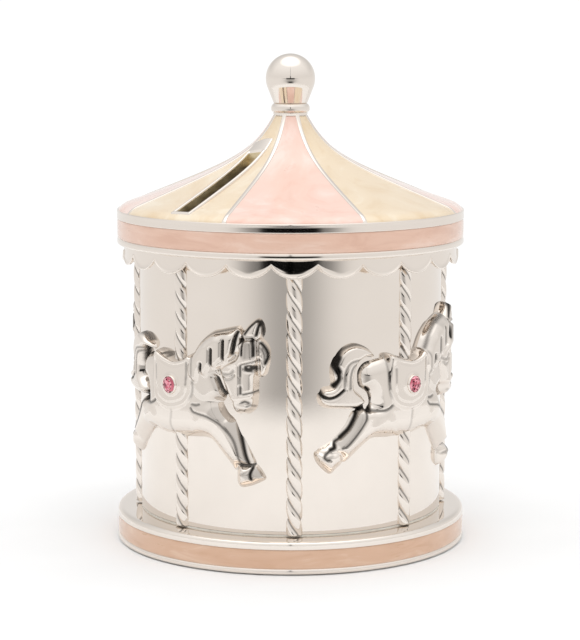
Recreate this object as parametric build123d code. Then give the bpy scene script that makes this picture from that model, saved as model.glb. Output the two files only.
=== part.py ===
from build123d import *
from math import atan2, ceil, cos, degrees, exp, hypot, pi, radians, sin
import os

# Carousel musical money box, silver plated and enamelled.  Millimetres, +Z up, origin at the centre of the
# surface it stands on.  Azimuth is measured from -Y towards +X.  -Y is the way the coin slot points.

# ---- driving dimensions ------------------------------------------------------------------------------------
PLINTH_R = 50.6            # outside of the plinth
PLINTH_BOTTOM = 0.3
PLINTH_TOP = 9.4
DRUM_R = 43.8              # outside of the drum wall
DRUM_WALL = 1.0
DRUM_BOTTOM = 9.8
DRUM_TOP = 85.2
COIN_FLOOR = 34.0          # underside of the coin chamber's floor
FASCIA_R = 50.0            # outside of the roof's upright band
FASCIA_BOTTOM = 86.1
FASCIA_TOP = 95.0
ROOF_EDGE_R = 48.5         # where the sloping roof starts
ROOF_EDGE_Z = 97.1
NECK_R = 4.8               # where the roof ends under the finial
FIRST_POLE = 37.5          # azimuth of the first pole, one every 45 degrees
POLES = 8
HORSES = 4
SCALLOPS = 24
SKIN = 0.4                 # enamel thickness
RUN = 0.05                 # radial clearance of a shaft in its hole
GAP = 0.3                  # clearance between a moving wall and a still one

POLE_STEP = 360 / POLES
HORSE_STEP = 360 / HORSES
HORSE_FIRST = FIRST_POLE - POLE_STEP
DRUM_IN = DRUM_R - DRUM_WALL
WHOLE = 200.0              # longer than anything in the box, for cutting tools

nodes = {}


# ---- shared shapes -----------------------------------------------------------------------------------------
def disc(radius, low, high, x=0.0, y=0.0):
    """Upright cylinder between two heights."""
    return Pos(x, y, low) * Cylinder(radius, high - low, align=(Align.CENTER, Align.CENTER, Align.MIN))


def ring(inner, outer, low, high, x=0.0, y=0.0):
    """Upright tube between two heights."""
    return disc(outer, low, high, x, y) - disc(inner, low - 1, high + 1, x, y)


def block(x_span, y_span, z_span):
    """Box given by its lowest and highest value along each axis."""
    size = [span[1] - span[0] for span in (x_span, y_span, z_span)]
    low = Align.MIN
    return Pos(x_span[0], y_span[0], z_span[0]) * Box(*size, align=(low, low, low))


def turned(shape, azimuth):
    """Shape modelled at -Y, carried round to an azimuth."""
    return Rot(0, 0, azimuth) * shape


def at(radius, azimuth):
    """Plan position of a point given by radius and azimuth."""
    return radius * sin(radians(azimuth)), -radius * cos(radians(azimuth))


def along_x(radius, x_span, y, z):
    """Cylinder lying along X."""
    rod = Cylinder(radius, x_span[1] - x_span[0], align=(Align.CENTER, Align.CENTER, Align.MIN))
    return Pos(x_span[0], y, z) * (Rot(0, 90, 0) * rod)


def gear_face(teeth, pitch_r, addendum, dedendum, tooth, tip, turn=0.0):
    """Flat gear outline: straight-flanked teeth of a given width at the pitch circle and at the tip."""
    root_r, tip_r = pitch_r - dedendum, pitch_r + addendum
    corners = []
    for k in range(teeth):
        middle = 360 / teeth * k + turn
        root_half = degrees((tooth + (tooth - tip) * dedendum / addendum) / 2 / root_r)
        tip_half = degrees(tip / 2 / tip_r)
        for r, offset in ((root_r, -root_half), (tip_r, -tip_half), (tip_r, tip_half), (root_r, root_half)):
            angle = radians(middle + offset)
            corners.append((r * cos(angle), r * sin(angle)))
    return make_face(Polyline(*corners, close=True))


def gear_on_x(face, x_span, y, z):
    """Gear with its axis along X, its first tooth pointing to +Y."""
    side = Plane(origin=(x_span[0], y, z), x_dir=(0, 1, 0), z_dir=(1, 0, 0))
    return side * extrude(face, x_span[1] - x_span[0])


# ---- roof surface ------------------------------------------------------------------------------------------
ROOF_SLOPE = 0.385         # fall of the canvas-like slope, per millimetre of radius
PEAK_RISE = 19.4           # extra rise of the peak, dying away outwards
PEAK_REACH = 6.1
ROOF_THICK = 1.3
RIB_WIDTH = 0.9
ENAMEL_INNER_R = 5.0       # the enamel fields run up to here, just below the finial's collar
ENAMEL_OUTER_R = 48.2
RIB_PROUD = 0.2


def roof_z(radius):
    """Height of the roof: a straight slope plus an exponential peak."""
    return ROOF_EDGE_Z + ROOF_SLOPE * (ROOF_EDGE_R - radius) + PEAK_RISE * exp(-radius / PEAK_REACH)


def roof_line(inner_r, outer_r, offset, steps=12):
    """Curve that follows the roof outwards between two radii, at a height offset from its surface."""
    ratio = (outer_r / inner_r) ** (1 / steps)
    radii = [inner_r * ratio ** k for k in range(steps + 1)]
    return Spline(*[(r, roof_z(r) + offset) for r in radii])


def roof_layer(below, above):
    """Band over the enamelled part of the roof, from below to above its surface."""
    top = roof_line(ENAMEL_INNER_R, ENAMEL_OUTER_R, above)
    bottom = roof_line(ENAMEL_INNER_R, ENAMEL_OUTER_R, below)
    ends = [Line(top @ 0, bottom @ 0), Line(top @ 1, bottom @ 1)]
    return revolve(Plane.XZ * make_face([top, bottom] + ends), Axis.Z)


def rib_bars(width):
    """Upright walls through the axis, where the eight silver ribs run."""
    bar = block((-width / 2, width / 2), (-WHOLE / 2, WHOLE / 2), (FASCIA_TOP, WHOLE))
    walls = turned(bar, FIRST_POLE + POLE_STEP / 2)
    for k in range(1, POLES // 2):
        walls += turned(bar, FIRST_POLE + POLE_STEP * (k + 0.5))
    return walls


# ---- coin slot ---------------------------------------------------------------------------------------------
SLOT_X = -2.5              # the slot lies beside the centre line, straight towards -Y
SLOT_WIDTH = 4.64
SLOT_OUTER_R = 46.6
SLOT_INNER_R = 13.4
FRAME_BORDER = 0.9
FRAME_PROUD = 0.45
FRAME_PATCH_R = 9.4        # the frame's upper end is a plain silver patch that reaches up to here


def slot_prism(border=0.0, outer=0.0, inner=0.0):
    """Upright prism over the coin slot, grown sideways and at its two ends."""
    half = SLOT_WIDTH / 2 + border
    span_y = (-SLOT_OUTER_R - outer, -SLOT_INNER_R + inner)
    return block((SLOT_X - half, SLOT_X + half), span_y, (FASCIA_BOTTOM + 2, WHOLE))


def slot_frame_prism():
    """Upright prism over the slot's frame: its border all round, and the patch at its upper end."""
    return slot_prism(FRAME_BORDER, FRAME_BORDER, SLOT_INNER_R - FRAME_PATCH_R)


# ---- base --------------------------------------------------------------------------------------------------
BAND_LOW, BAND_HIGH = 1.8, 7.1                    # enamel band on the plinth
PLINTH_WALL = 1.6
PLINTH_OPENING_R = 38.0                           # the movement stands up through it
EDGE_ROUND = 1.4
PLATE_LOW, PLATE_HIGH = 1.2, 2.6                  # base plate
PLATE_R = PLINTH_R - PLINTH_WALL - 0.1
WELL_R, WELL_WALL, WELL_TOP = 15.0, 1.2, 12.2     # recess for the winding key
BOSS_R, BOSS_AT = 2.6, 45.6                       # screw bosses under the plinth's top
SCREW_R, HEAD_R, HEAD_DEEP = 1.0, 2.0, 0.8
BASE_SCREWS = 4
PAD_INNER, PAD_OUTER = 17.5, 42.5


def plinth():
    wall = ring(PLINTH_R - PLINTH_WALL, PLINTH_R, PLINTH_BOTTOM, PLINTH_TOP)
    top = ring(PLINTH_OPENING_R, PLINTH_R, PLINTH_TOP - PLINTH_WALL, PLINTH_TOP)
    body = wall + top
    rim = body.edges().filter_by(GeomType.CIRCLE).filter_by(lambda e: abs(e.radius - PLINTH_R) < 0.01)
    body = fillet(rim.sort_by(Axis.Z)[-1], EDGE_ROUND)
    body -= ring(PLINTH_R - SKIN, PLINTH_R + 1, BAND_LOW, BAND_HIGH)
    for k in range(BASE_SCREWS):
        x, y = at(BOSS_AT, 360 / BASE_SCREWS * k)
        body += disc(BOSS_R, PLATE_HIGH, PLINTH_TOP - PLINTH_WALL, x, y)
    for k in range(BASE_SCREWS):
        x, y = at(BOSS_AT, 360 / BASE_SCREWS * k)
        body -= disc(SCREW_R + RUN, PLATE_HIGH - 1, PLINTH_TOP - PLINTH_WALL, x, y)
    return body


def base_plate():
    body = disc(PLATE_R, PLATE_LOW, PLATE_HIGH) + disc(WELL_R + WELL_WALL, PLATE_LOW, WELL_TOP)
    body -= disc(WELL_R, PLATE_LOW - 1, WELL_TOP - WELL_WALL)
    body -= disc(ARBOR_R + 0.6, PLATE_LOW, WELL_TOP + 1)
    for k in range(BASE_SCREWS):
        x, y = at(BOSS_AT, 360 / BASE_SCREWS * k)
        body -= disc(SCREW_R + RUN, PLATE_LOW - 1, PLATE_HIGH + 1, x, y)
        body -= disc(HEAD_R + RUN, PLATE_LOW - 1, PLATE_LOW + HEAD_DEEP, x, y)
    for x, y in movement_screw_places():
        body -= disc(SCREW_R + RUN, WELL_TOP - 2, WELL_TOP + 1, x, y)
    return body


def base_plate_screws():
    screws = []
    for k in range(BASE_SCREWS):
        x, y = at(BOSS_AT, 360 / BASE_SCREWS * k)
        screws.append(disc(HEAD_R, PLATE_LOW, PLATE_LOW + HEAD_DEEP, x, y) +
                      disc(SCREW_R, PLATE_LOW, PLINTH_TOP - PLINTH_WALL - 0.4, x, y))
    return screws


# ---- movement: bedplate, comb and governor frame -----------------------------------------------------------
ARBOR_R = 2.0                                     # winding arbor
BED_LOW, BED_HIGH = WELL_TOP, 13.8
BED_R = 40.4
BED_X, BED_Y = (-19.0, 38.0), (-22.6, 24.0)
MOVEMENT_SCREWS, MOVEMENT_SCREW_AT = 3, 12.4

PIN_R = 15.75                                     # pitch radius of the crown wheel
CROWN_TEETH, CYLINDER_PINION_TEETH = 42, 14
GEAR_TEETH, GOVERNOR_PINION_TEETH = 48, 12
WORM_WHEEL_TEETH = 12
PINION_R = PIN_R * CYLINDER_PINION_TEETH / CROWN_TEETH
WHEEL_LOW, WHEEL_HIGH = 16.4, 17.6                # great wheel
CROWN_PITCH_Z = WHEEL_HIGH + 0.65
AXIS_Z = CROWN_PITCH_Z + PINION_R                 # height of the cylinder's axis
GEAR_R = 9.0
GOVERNOR_PINION_R = GEAR_R * GOVERNOR_PINION_TEETH / GEAR_TEETH
GOVERNOR_Y = GEAR_R + GOVERNOR_PINION_R
WORM_WHEEL_R = 3.0
WORM_R = 1.6
WORM_X, WORM_Y = 24.0, GOVERNOR_Y + WORM_WHEEL_R + WORM_R
CYLINDER_X = (19.4, 33.0)
CYLINDER_R = 6.6
PIN_HEIGHT = 0.7
INNER_BEARING, OUTER_BEARING = (17.6, 18.8), (35.2, 36.4)
SHAFT_R, THIN_SHAFT_R, PIVOT_R = 0.9, 0.7, 0.5
NOTES = 18
NOTE_STEP = 0.75
NOTE_FIRST = CYLINDER_X[0] + 0.45
COMB_Y = (-22.0, -14.5)                           # body of the comb
COMB_TIP_Y = -(CYLINDER_R + PIN_HEIGHT + 0.25)
COMB_THICK = 1.0
COMB_SCREWS = 3
FRAME_Y = (21.4, 23.2)
FRAME_X = (20.5, 27.5)
FAN_LOW, FAN_HIGH, FAN_R = 28.4, 31.2, 4.8
FRAME_ARMS = ((15.2, 16.4), (31.8, 33.0))


def movement_screw_places():
    return [at(MOVEMENT_SCREW_AT, 60 + 360 / MOVEMENT_SCREWS * k) for k in range(MOVEMENT_SCREWS)]


def comb_screw_places():
    middle = sum(CYLINDER_X) / 2
    return [(middle + 4.6 * (k - 1), sum(COMB_Y) / 2 - 0.6) for k in range(COMB_SCREWS)]


def movement_bedplate():
    """Cast bedplate with the comb's foot and the two bearings of the cylinder in one piece."""
    body = block(BED_X, BED_Y, (BED_LOW, BED_HIGH)) & disc(BED_R, BED_LOW - 1, BED_HIGH + 1)
    body += block(CYLINDER_X, (COMB_Y[0], COMB_Y[1] - 1), (BED_HIGH, AXIS_Z - COMB_THICK / 2))
    for span in (INNER_BEARING, OUTER_BEARING):
        body += block(span, (-2.2, GOVERNOR_Y + 1.8), (BED_HIGH, AXIS_Z + 2))
        body -= along_x(SHAFT_R + RUN, (span[0] - 1, span[1] + 1), 0, AXIS_Z)
        body -= along_x(THIN_SHAFT_R + RUN, (span[0] - 1, span[1] + 1), GOVERNOR_Y, AXIS_Z)
    body -= disc(ARBOR_R + RUN, BED_LOW - 1, BED_HIGH + 1)
    for x, y in movement_screw_places():
        body -= disc(SCREW_R + RUN, BED_LOW - 1, BED_HIGH + 1, x, y)
    for x, y in comb_screw_places():
        body -= disc(THIN_SHAFT_R + RUN, BED_HIGH + 3, AXIS_Z, x, y)
    return body


def movement_screws():
    head_low = WELL_TOP - WELL_WALL - 1.0
    return [disc(1.6, head_low, WELL_TOP - WELL_WALL, x, y) + disc(SCREW_R, head_low, BED_HIGH - 0.2, x, y)
            for x, y in movement_screw_places()]


def comb():
    low, high = AXIS_Z - COMB_THICK / 2, AXIS_Z + COMB_THICK / 2
    body = block(CYLINDER_X, COMB_Y, (low, high))
    for k in range(NOTES):
        middle = NOTE_FIRST + NOTE_STEP * k
        body += block((middle - 0.27, middle + 0.27), (COMB_Y[1], COMB_TIP_Y), (low, high))
    for x, y in comb_screw_places():
        body -= disc(THIN_SHAFT_R + RUN, low - 1, high + 1, x, y)
    return body


def comb_screws():
    top = AXIS_Z + COMB_THICK / 2
    return [disc(1.5, top, top + 1.1, x, y) + disc(THIN_SHAFT_R, BED_HIGH + 3.2, top, x, y)
            for x, y in comb_screw_places()]


def governor_frame():
    """Bracket that stands on the bedplate and carries the fan's upright shaft in two arms."""
    body = block(FRAME_X, FRAME_Y, (BED_HIGH, FRAME_ARMS[1][1]))
    for low, high in FRAME_ARMS:
        body += block((WORM_X - 2, WORM_X + 2), (WORM_Y - 1.6, FRAME_Y[1]), (low, high))
        body -= disc(PIVOT_R + RUN, low - 1, high + 1, WORM_X, WORM_Y)
    return body


# ---- winding key and arbor ---------------------------------------------------------------------------------
KEY_THICK = 2.2
KEY_LOW, KEY_HIGH = 1.5, 8.2
KEY_LOBE_X = 7.0
BOSS_HIGH = 9.6
TOP_PIVOT_R = 1.5
HUB_LOW = 27.6


def winding_key():
    lobe_r = (KEY_HIGH - KEY_LOW) / 2
    middle = (KEY_HIGH + KEY_LOW) / 2
    body = block((-KEY_LOBE_X, KEY_LOBE_X), (-KEY_THICK / 2, KEY_THICK / 2), (KEY_LOW + 1.2, KEY_HIGH - 1.2))
    body += disc(ARBOR_R + 1.3, KEY_LOW + 1.2, BOSS_HIGH)
    for side in (-1, 1):
        lobe = Pos(side * KEY_LOBE_X, 0, middle) * (Rot(90, 0, 0) * Cylinder(lobe_r, KEY_THICK))
        eye = Pos(side * KEY_LOBE_X, 0, middle) * (Rot(90, 0, 0) * Cylinder(lobe_r - 1.7, KEY_THICK + 2))
        body = body + lobe - eye
    return body - disc(ARBOR_R, KEY_LOW + 2.4, BOSS_HIGH + 1)


def winding_arbor():
    return (disc(ARBOR_R, KEY_LOW + 2.4, WHEEL_HIGH + 0.6) + disc(ARBOR_R + 0.6, WHEEL_HIGH + 0.7, 26.0) +
            disc(ARBOR_R, WHEEL_HIGH + 0.6, WHEEL_HIGH + 0.7) + disc(TOP_PIVOT_R, 26.0, HUB_LOW + 3.6))


def click_spring():
    """Wrap spring that lets the arbor turn one way only."""
    return ring(ARBOR_R + 0.1, ARBOR_R + 1.0, BED_HIGH, WHEEL_LOW - 0.5)


# ---- going barrel and drive --------------------------------------------------------------------------------
BARREL_R, BARREL_WALL = 13.0, 0.8
BARREL_LOW, BARREL_HIGH = WHEEL_HIGH, 26.4
COVER_HIGH = 27.6
CROWN_R = (14.5, 17.0)
CROWN_TOOTH = 0.8
SPRING_TURNS = 6
SPRING_R = (3.4, 11.7)
SPRING_THICK = 0.35
HUB_R = 9.0
FLOOR_THICK = 1.4
FLOOR_SCREWS, FLOOR_SCREW_AT = 3, 6.4


def great_wheel():
    body = ring(ARBOR_R + RUN, CROWN_R[1], WHEEL_LOW, WHEEL_HIGH)
    tooth = block((CROWN_R[0], CROWN_R[1]), (-CROWN_TOOTH / 2, CROWN_TOOTH / 2), (WHEEL_LOW, CROWN_PITCH_Z + 0.6))
    return body + [Rot(0, 0, 360 / CROWN_TEETH * k) * tooth for k in range(CROWN_TEETH)]


def spring_barrel():
    body = disc(BARREL_R, BARREL_LOW, BARREL_HIGH) - disc(BARREL_R - BARREL_WALL, BARREL_LOW + 0.6, WHOLE)
    return body - disc(ARBOR_R + RUN, BARREL_LOW - 1, WHOLE)


def mainspring():
    """Flat spring wound as a spiral of even pitch."""
    count = 12 * SPRING_TURNS

    def side(offset):
        points = []
        for k in range(count + 1):
            r = SPRING_R[0] + (SPRING_R[1] - SPRING_R[0]) * k / count + offset
            angle = radians(30 * k)
            points.append((r * cos(angle), r * sin(angle)))
        return Spline(*points)
    inner, outer = side(-SPRING_THICK / 2), side(SPRING_THICK / 2)
    strip = make_face([inner, outer, Line(inner @ 0, outer @ 0), Line(inner @ 1, outer @ 1)])
    return Pos(0, 0, BARREL_LOW + 1.0) * extrude(strip, BARREL_HIGH - BARREL_LOW - 1.4)


def barrel_cover():
    return ring(TOP_PIVOT_R + RUN, BARREL_R, BARREL_HIGH, COVER_HIGH)


def drive_hub():
    """Spool between the barrel and the carousel's floor."""
    body = disc(HUB_R, HUB_LOW, HUB_LOW + 1.2) + disc(HUB_R / 2, HUB_LOW, COIN_FLOOR)
    body += disc(HUB_R, COIN_FLOOR - 2.0, COIN_FLOOR)
    body -= disc(TOP_PIVOT_R + RUN, HUB_LOW - 1, HUB_LOW + 4.0)
    for k in range(FLOOR_SCREWS):
        x, y = at(FLOOR_SCREW_AT, 360 / FLOOR_SCREWS * k)
        body -= disc(SCREW_R + RUN, COIN_FLOOR - 3, COIN_FLOOR + 1, x, y)
    return body


# ---- cylinder and governor ---------------------------------------------------------------------------------
def cylinder_arbor():
    """Arbor with the pinion that the great wheel drives."""
    face = gear_face(CYLINDER_PINION_TEETH, PINION_R, 0.45, 0.75, 0.85, 0.5)
    pinion = gear_on_x(face, (14.5, 17.0), 0, AXIS_Z)
    return pinion + along_x(SHAFT_R, (14.3, OUTER_BEARING[1] + 0.3), 0, AXIS_Z)


def tune_cylinder():
    body = along_x(CYLINDER_R, CYLINDER_X, 0, AXIS_Z)
    body -= along_x(CYLINDER_R - 0.8, (CYLINDER_X[0] + 0.8, CYLINDER_X[1] - 0.8), 0, AXIS_Z)
    return body - along_x(SHAFT_R, (CYLINDER_X[0] - 1, CYLINDER_X[1] + 1), 0, AXIS_Z)


def tune_pins():
    """Five steel pins a note, spread round the cylinder by a fixed uneven step."""
    pins = []
    for note in range(NOTES):
        for beat in range(5):
            angle = 137.5 * note + 72 * beat + 11 * (note * beat % 4)
            pin = Pos(NOTE_FIRST + NOTE_STEP * note, 0, AXIS_Z) * (Rot(angle, 0, 0) * (
                Pos(0, 0, CYLINDER_R) * Cylinder(0.18, PIN_HEIGHT, align=(Align.CENTER, Align.CENTER, Align.MIN))))
            pins.append(pin)
    return pins


def cylinder_gear():
    face = gear_face(GEAR_TEETH, GEAR_R, 0.3, 0.45, 0.42, 0.24)
    return gear_on_x(face, (33.6, 34.8), 0, AXIS_Z) - along_x(SHAFT_R, (33, 36), 0, AXIS_Z)


def governor_arbor():
    face = gear_face(GOVERNOR_PINION_TEETH, GOVERNOR_PINION_R, 0.3, 0.45, 0.42, 0.24, 180 / GOVERNOR_PINION_TEETH)
    pinion = gear_on_x(face, (33.5, 34.9), GOVERNOR_Y, AXIS_Z)
    return pinion + along_x(THIN_SHAFT_R, (INNER_BEARING[0] - 0.3, OUTER_BEARING[1] + 0.3), GOVERNOR_Y, AXIS_Z)


def governor_worm_wheel():
    face = gear_face(WORM_WHEEL_TEETH, WORM_WHEEL_R, 0.4, 0.55, 0.6, 0.35)
    wheel = gear_on_x(face, (WORM_X - 0.6, WORM_X + 0.6), GOVERNOR_Y, AXIS_Z)
    return wheel - along_x(THIN_SHAFT_R, (WORM_X - 2, WORM_X + 2), GOVERNOR_Y, AXIS_Z)


def governor_worm():
    """Upright shaft with a right-handed, single-start worm in mesh with the wheel beside it."""
    pitch = 2 * pi * WORM_WHEEL_R / WORM_WHEEL_TEETH
    turns = 5
    core_r, thread = 1.0, 0.46
    low = AXIS_Z - 0.25 * pitch - pitch * ceil(turns / 2)
    path = Helix(pitch, pitch * turns, core_r)
    section = make_face(Polyline((-0.15, -thread), (-0.15, thread), (1.0, 0.16), (1.0, -0.16), close=True))
    start = Plane(origin=path @ 0, x_dir=(1, 0, 0), z_dir=path % 0)
    worm = sweep(start * section, path, is_frenet=True)
    worm = Pos(WORM_X, WORM_Y, low) * worm
    shaft = disc(core_r, FRAME_ARMS[0][1] + 0.3, FRAME_ARMS[1][0] - 0.2, WORM_X, WORM_Y)
    return shaft + disc(PIVOT_R, FRAME_ARMS[0][0], FRAME_ARMS[1][1], WORM_X, WORM_Y) + worm


def governor_fan():
    """Two-bladed air brake on the worm's shaft."""
    body = disc(1.7, FAN_LOW, FAN_HIGH, WORM_X, WORM_Y)
    body += block((WORM_X - FAN_R, WORM_X + FAN_R), (WORM_Y - 0.25, WORM_Y + 0.25), (FAN_LOW, FAN_HIGH))
    return body - disc(1.0, FAN_LOW - 1, FAN_HIGH + 1, WORM_X, WORM_Y)


# ---- carousel ----------------------------------------------------------------------------------------------
POLE_R = 2.35
POLE_AT = 43.05            # the pole's axis lies inside the wall's face, so half of it shows
POLE_BOTTOM, POLE_TOP = DRUM_BOTTOM + 0.1, DRUM_TOP - 1.2
HORSE_THICK = 4.2
CRYSTAL_R, CRYSTAL_Z, CRYSTAL_OUT = 2.2, 50.0, 49.2

# Galloping horse seen from outside: arc along the wall from its pole, and height.
HORSE_OUTLINE = (
    (-7.0, 58.8), (0.0, 57.0), (4.0, 58.4), (6.9, 61.5), (9.0, 63.8), (14.3, 66.3), (20.0, 67.2),
    (23.6, 69.3), (25.4, 69.7), (26.5, 66.0), (28.0, 61.5), (27.6, 56.0), (25.2, 53.6), (24.7, 47.5),
    (22.6, 43.9), (19.0, 43.5), (18.6, 41.0), (22.1, 34.0), (24.2, 30.0), (26.6, 26.0), (19.8, 22.9),
    (18.5, 27.0), (14.3, 32.0), (8.5, 36.0), (0.0, 35.2), (-11.0, 36.0), (-17.3, 32.0), (-24.2, 26.7),
    (-28.6, 30.5), (-28.6, 33.2), (-24.1, 36.0), (-20.4, 40.0), (-18.0, 44.6), (-22.4, 44.6), (-27.4, 46.0),
    (-28.2, 48.8), (-25.0, 51.4), (-24.7, 57.0), (-21.0, 61.8), (-15.8, 62.0))


def drum_shell():
    return ring(DRUM_IN, DRUM_R, DRUM_BOTTOM, DRUM_TOP)


def drum_floor():
    body = disc(DRUM_IN - RUN, COIN_FLOOR, COIN_FLOOR + FLOOR_THICK)
    for k in range(FLOOR_SCREWS):
        x, y = at(FLOOR_SCREW_AT, 360 / FLOOR_SCREWS * k)
        body -= disc(SCREW_R + RUN, COIN_FLOOR - 1, COIN_FLOOR + FLOOR_THICK + 1, x, y)
    return body


def floor_screws():
    top = COIN_FLOOR + FLOOR_THICK
    screws = []
    for k in range(FLOOR_SCREWS):
        x, y = at(FLOOR_SCREW_AT, 360 / FLOOR_SCREWS * k)
        screws.append(disc(1.9, top, top + 1.0, x, y) + disc(SCREW_R, COIN_FLOOR - 1.8, top, x, y))
    return screws


def pole():
    """Pole at -Y, let into nothing: its back is the drum's round face."""
    return disc(POLE_R, POLE_BOTTOM, POLE_TOP, 0, -POLE_AT) - disc(DRUM_R, POLE_BOTTOM - 1, POLE_TOP + 1)


def horse():
    """Relief of a horse over the pole at -Y, fitted to the drum's round face."""
    points = [(DRUM_R * sin(arc / DRUM_R), z) for arc, z in HORSE_OUTLINE]
    face = make_face(Spline(*points, periodic=True))
    low, high = HORSE_OUTLINE[20][1] - 3, HORSE_OUTLINE[8][1] + 3
    body = extrude(Plane.XZ * face, WHOLE / 2) & ring(DRUM_R, DRUM_R + HORSE_THICK, low, high)
    return body - disc(POLE_R + RUN, low, high, 0, -POLE_AT)


def crystal():
    """Round-cut stone: girdle, sloping crown and flat table, facing -Y."""
    seat = DRUM_R + HORSE_THICK
    stone = Cylinder(CRYSTAL_R, 0.5, align=(Align.CENTER, Align.CENTER, Align.MIN))
    crown = Pos(0, 0, 0.5) * Cone(CRYSTAL_R, CRYSTAL_R * 0.6, 0.7, align=(Align.CENTER, Align.CENTER, Align.MIN))
    return Pos(0, -seat, CRYSTAL_Z) * (Rot(90, 0, 0) * (stone + crown))


def crystal_bezel():
    seat = DRUM_R + HORSE_THICK
    collar = Cylinder(CRYSTAL_R + 0.3, 0.7, align=(Align.CENTER, Align.CENTER, Align.MIN))
    return Pos(0, -seat, CRYSTAL_Z) * (Rot(90, 0, 0) * (collar - Pos(0, 0, -1) * Cylinder(
        CRYSTAL_R + 0.01, 3, align=(Align.CENTER, Align.CENTER, Align.MIN))))


# ---- roof --------------------------------------------------------------------------------------------------
FASCIA_WALL = 1.2
FASCIA_BAND = (88.2, 93.0)
SPIGOT_R = DRUM_IN - GAP
SPIGOT_WALL = 1.1
SPIGOT_BOTTOM = 79.0
FLANGE = 1.2
VALANCE_R = (47.1, 48.4)
TIP_Z, CUSP_Z = 80.8, 83.85
BOSS_DEEP = 4.0            # boss for the finial's stud, below the neck
COLLAR_R, COLLAR_Z = 5.56, (123.4, 126.0)
BALL_R, BALL_Z = 7.09, 133.0
BALL_FOOT_R = 4.9
BALL_TAPER = 0.385         # the cone under the ball widens by this much per millimetre
STUD_R = 1.8


def roof_shell():
    """Roof, upright fascia, flange and spigot spun from one sheet, with eight raised ribs."""
    field = roof_line(ENAMEL_INNER_R, ENAMEL_OUTER_R, -SKIN)
    crown = Line((NECK_R, roof_z(NECK_R)), (ENAMEL_INNER_R, roof_z(ENAMEL_INNER_R)))
    under = roof_line(NECK_R, ROOF_EDGE_R - 0.4, -ROOF_THICK)
    fascia_in = FASCIA_R - FASCIA_WALL
    spigot_in = SPIGOT_R - SPIGOT_WALL
    boss_z = roof_z(NECK_R) - BOSS_DEEP
    rim = Polyline(under @ 1, (fascia_in, FASCIA_TOP - 0.4), (fascia_in, FASCIA_BOTTOM + FLANGE),
                   (spigot_in, FASCIA_BOTTOM + FLANGE), (spigot_in, SPIGOT_BOTTOM), (SPIGOT_R, SPIGOT_BOTTOM),
                   (SPIGOT_R, FASCIA_BOTTOM), (FASCIA_R, FASCIA_BOTTOM), (FASCIA_R, FASCIA_TOP + 0.6),
                   (FASCIA_R - 0.4, FASCIA_TOP + 1.3), (ROOF_EDGE_R, ROOF_EDGE_Z),
                   (ENAMEL_OUTER_R, roof_z(ENAMEL_OUTER_R)), field @ 1)
    neck = Polyline(crown @ 0, (NECK_R, COLLAR_Z[0]), (STUD_R, COLLAR_Z[0]), (STUD_R, boss_z),
                    (NECK_R, boss_z), under @ 0)
    outline = [field, Line(field @ 0, crown @ 1), crown, neck, under, rim]
    body = revolve(Plane.XZ * make_face(outline), Axis.Z)
    body += roof_layer(-SKIN - 0.3, RIB_PROUD) & rib_bars(RIB_WIDTH)
    return body - ring(FASCIA_R - SKIN, FASCIA_R + 1, *FASCIA_BAND) - slot_prism()


def enamel_fields():
    """The eight enamel fields, in order of azimuth from the first pole.  The last one has the slot."""
    layer = roof_layer(-SKIN, 0) - rib_bars(RIB_WIDTH)

    def azimuth(solid):
        centre = solid.center()
        return (degrees(atan2(centre.X, -centre.Y)) - FIRST_POLE + POLE_STEP / 2) % 360
    fields = sorted(layer.solids(), key=azimuth)
    fields[-1] -= slot_frame_prism()
    return fields


def slot_frame():
    """Raised rim of the slot, with a plain patch at its upper end."""
    pieces = (roof_layer(-SKIN, FRAME_PROUD) & slot_frame_prism()) - slot_prism() - rib_bars(RIB_WIDTH)
    return pieces.solids().sort_by(SortBy.VOLUME)[-1]


def fascia_enamel():
    return ring(FASCIA_R - SKIN, FASCIA_R, *FASCIA_BAND)


def valance():
    """Ring with a scalloped lower edge: each lobe is an arc between two cusps."""
    body = ring(*VALANCE_R, TIP_Z, FASCIA_BOTTOM)
    half = VALANCE_R[1] * pi / SCALLOPS
    rise = CUSP_Z - TIP_Z
    lobe_r = (half ** 2 + rise ** 2) / (2 * rise)
    quarter = (half / 2, TIP_Z + lobe_r - (lobe_r ** 2 - (half / 2) ** 2) ** 0.5)
    right = ThreePointArc((0, CUSP_Z), (half - quarter[0], quarter[1]), (half, TIP_Z))
    left = ThreePointArc((0, CUSP_Z), (quarter[0] - half, quarter[1]), (-half, TIP_Z))
    under = Polyline((half, TIP_Z), (half, TIP_Z - 2), (-half, TIP_Z - 2), (-half, TIP_Z))
    notch = extrude(Plane.XZ * make_face([left, right] + under.edges()), WHOLE / 2)
    step = 360 / SCALLOPS
    return body - [turned(notch, FIRST_POLE + step * (k + 0.5)) for k in range(SCALLOPS)]


def roof_gasket():
    return ring(SPIGOT_R + 0.3, DRUM_R - 0.1, DRUM_TOP + RUN, FASCIA_BOTTOM)


def finial_collar():
    return ring(STUD_R, COLLAR_R, *COLLAR_Z)


def finial_ball():
    """Ball that runs down into a cone tangent to it, bored for the stud."""
    slant = hypot(1, BALL_TAPER)
    foot, top = COLLAR_Z[1], (0, BALL_Z + BALL_R)
    touch = (BALL_R / slant, BALL_Z - BALL_R * BALL_TAPER / slant)
    below = Polyline((0, BALL_Z), (STUD_R, BALL_Z), (STUD_R, foot), (BALL_FOOT_R, foot), touch)
    outline = [below, ThreePointArc(touch, (BALL_R, BALL_Z), top), Line(top, (0, BALL_Z))]
    return revolve(Plane.XZ * make_face(outline), Axis.Z)


def finial_stud():
    return disc(STUD_R, roof_z(NECK_R) - BOSS_DEEP - 2, BALL_Z)


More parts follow.
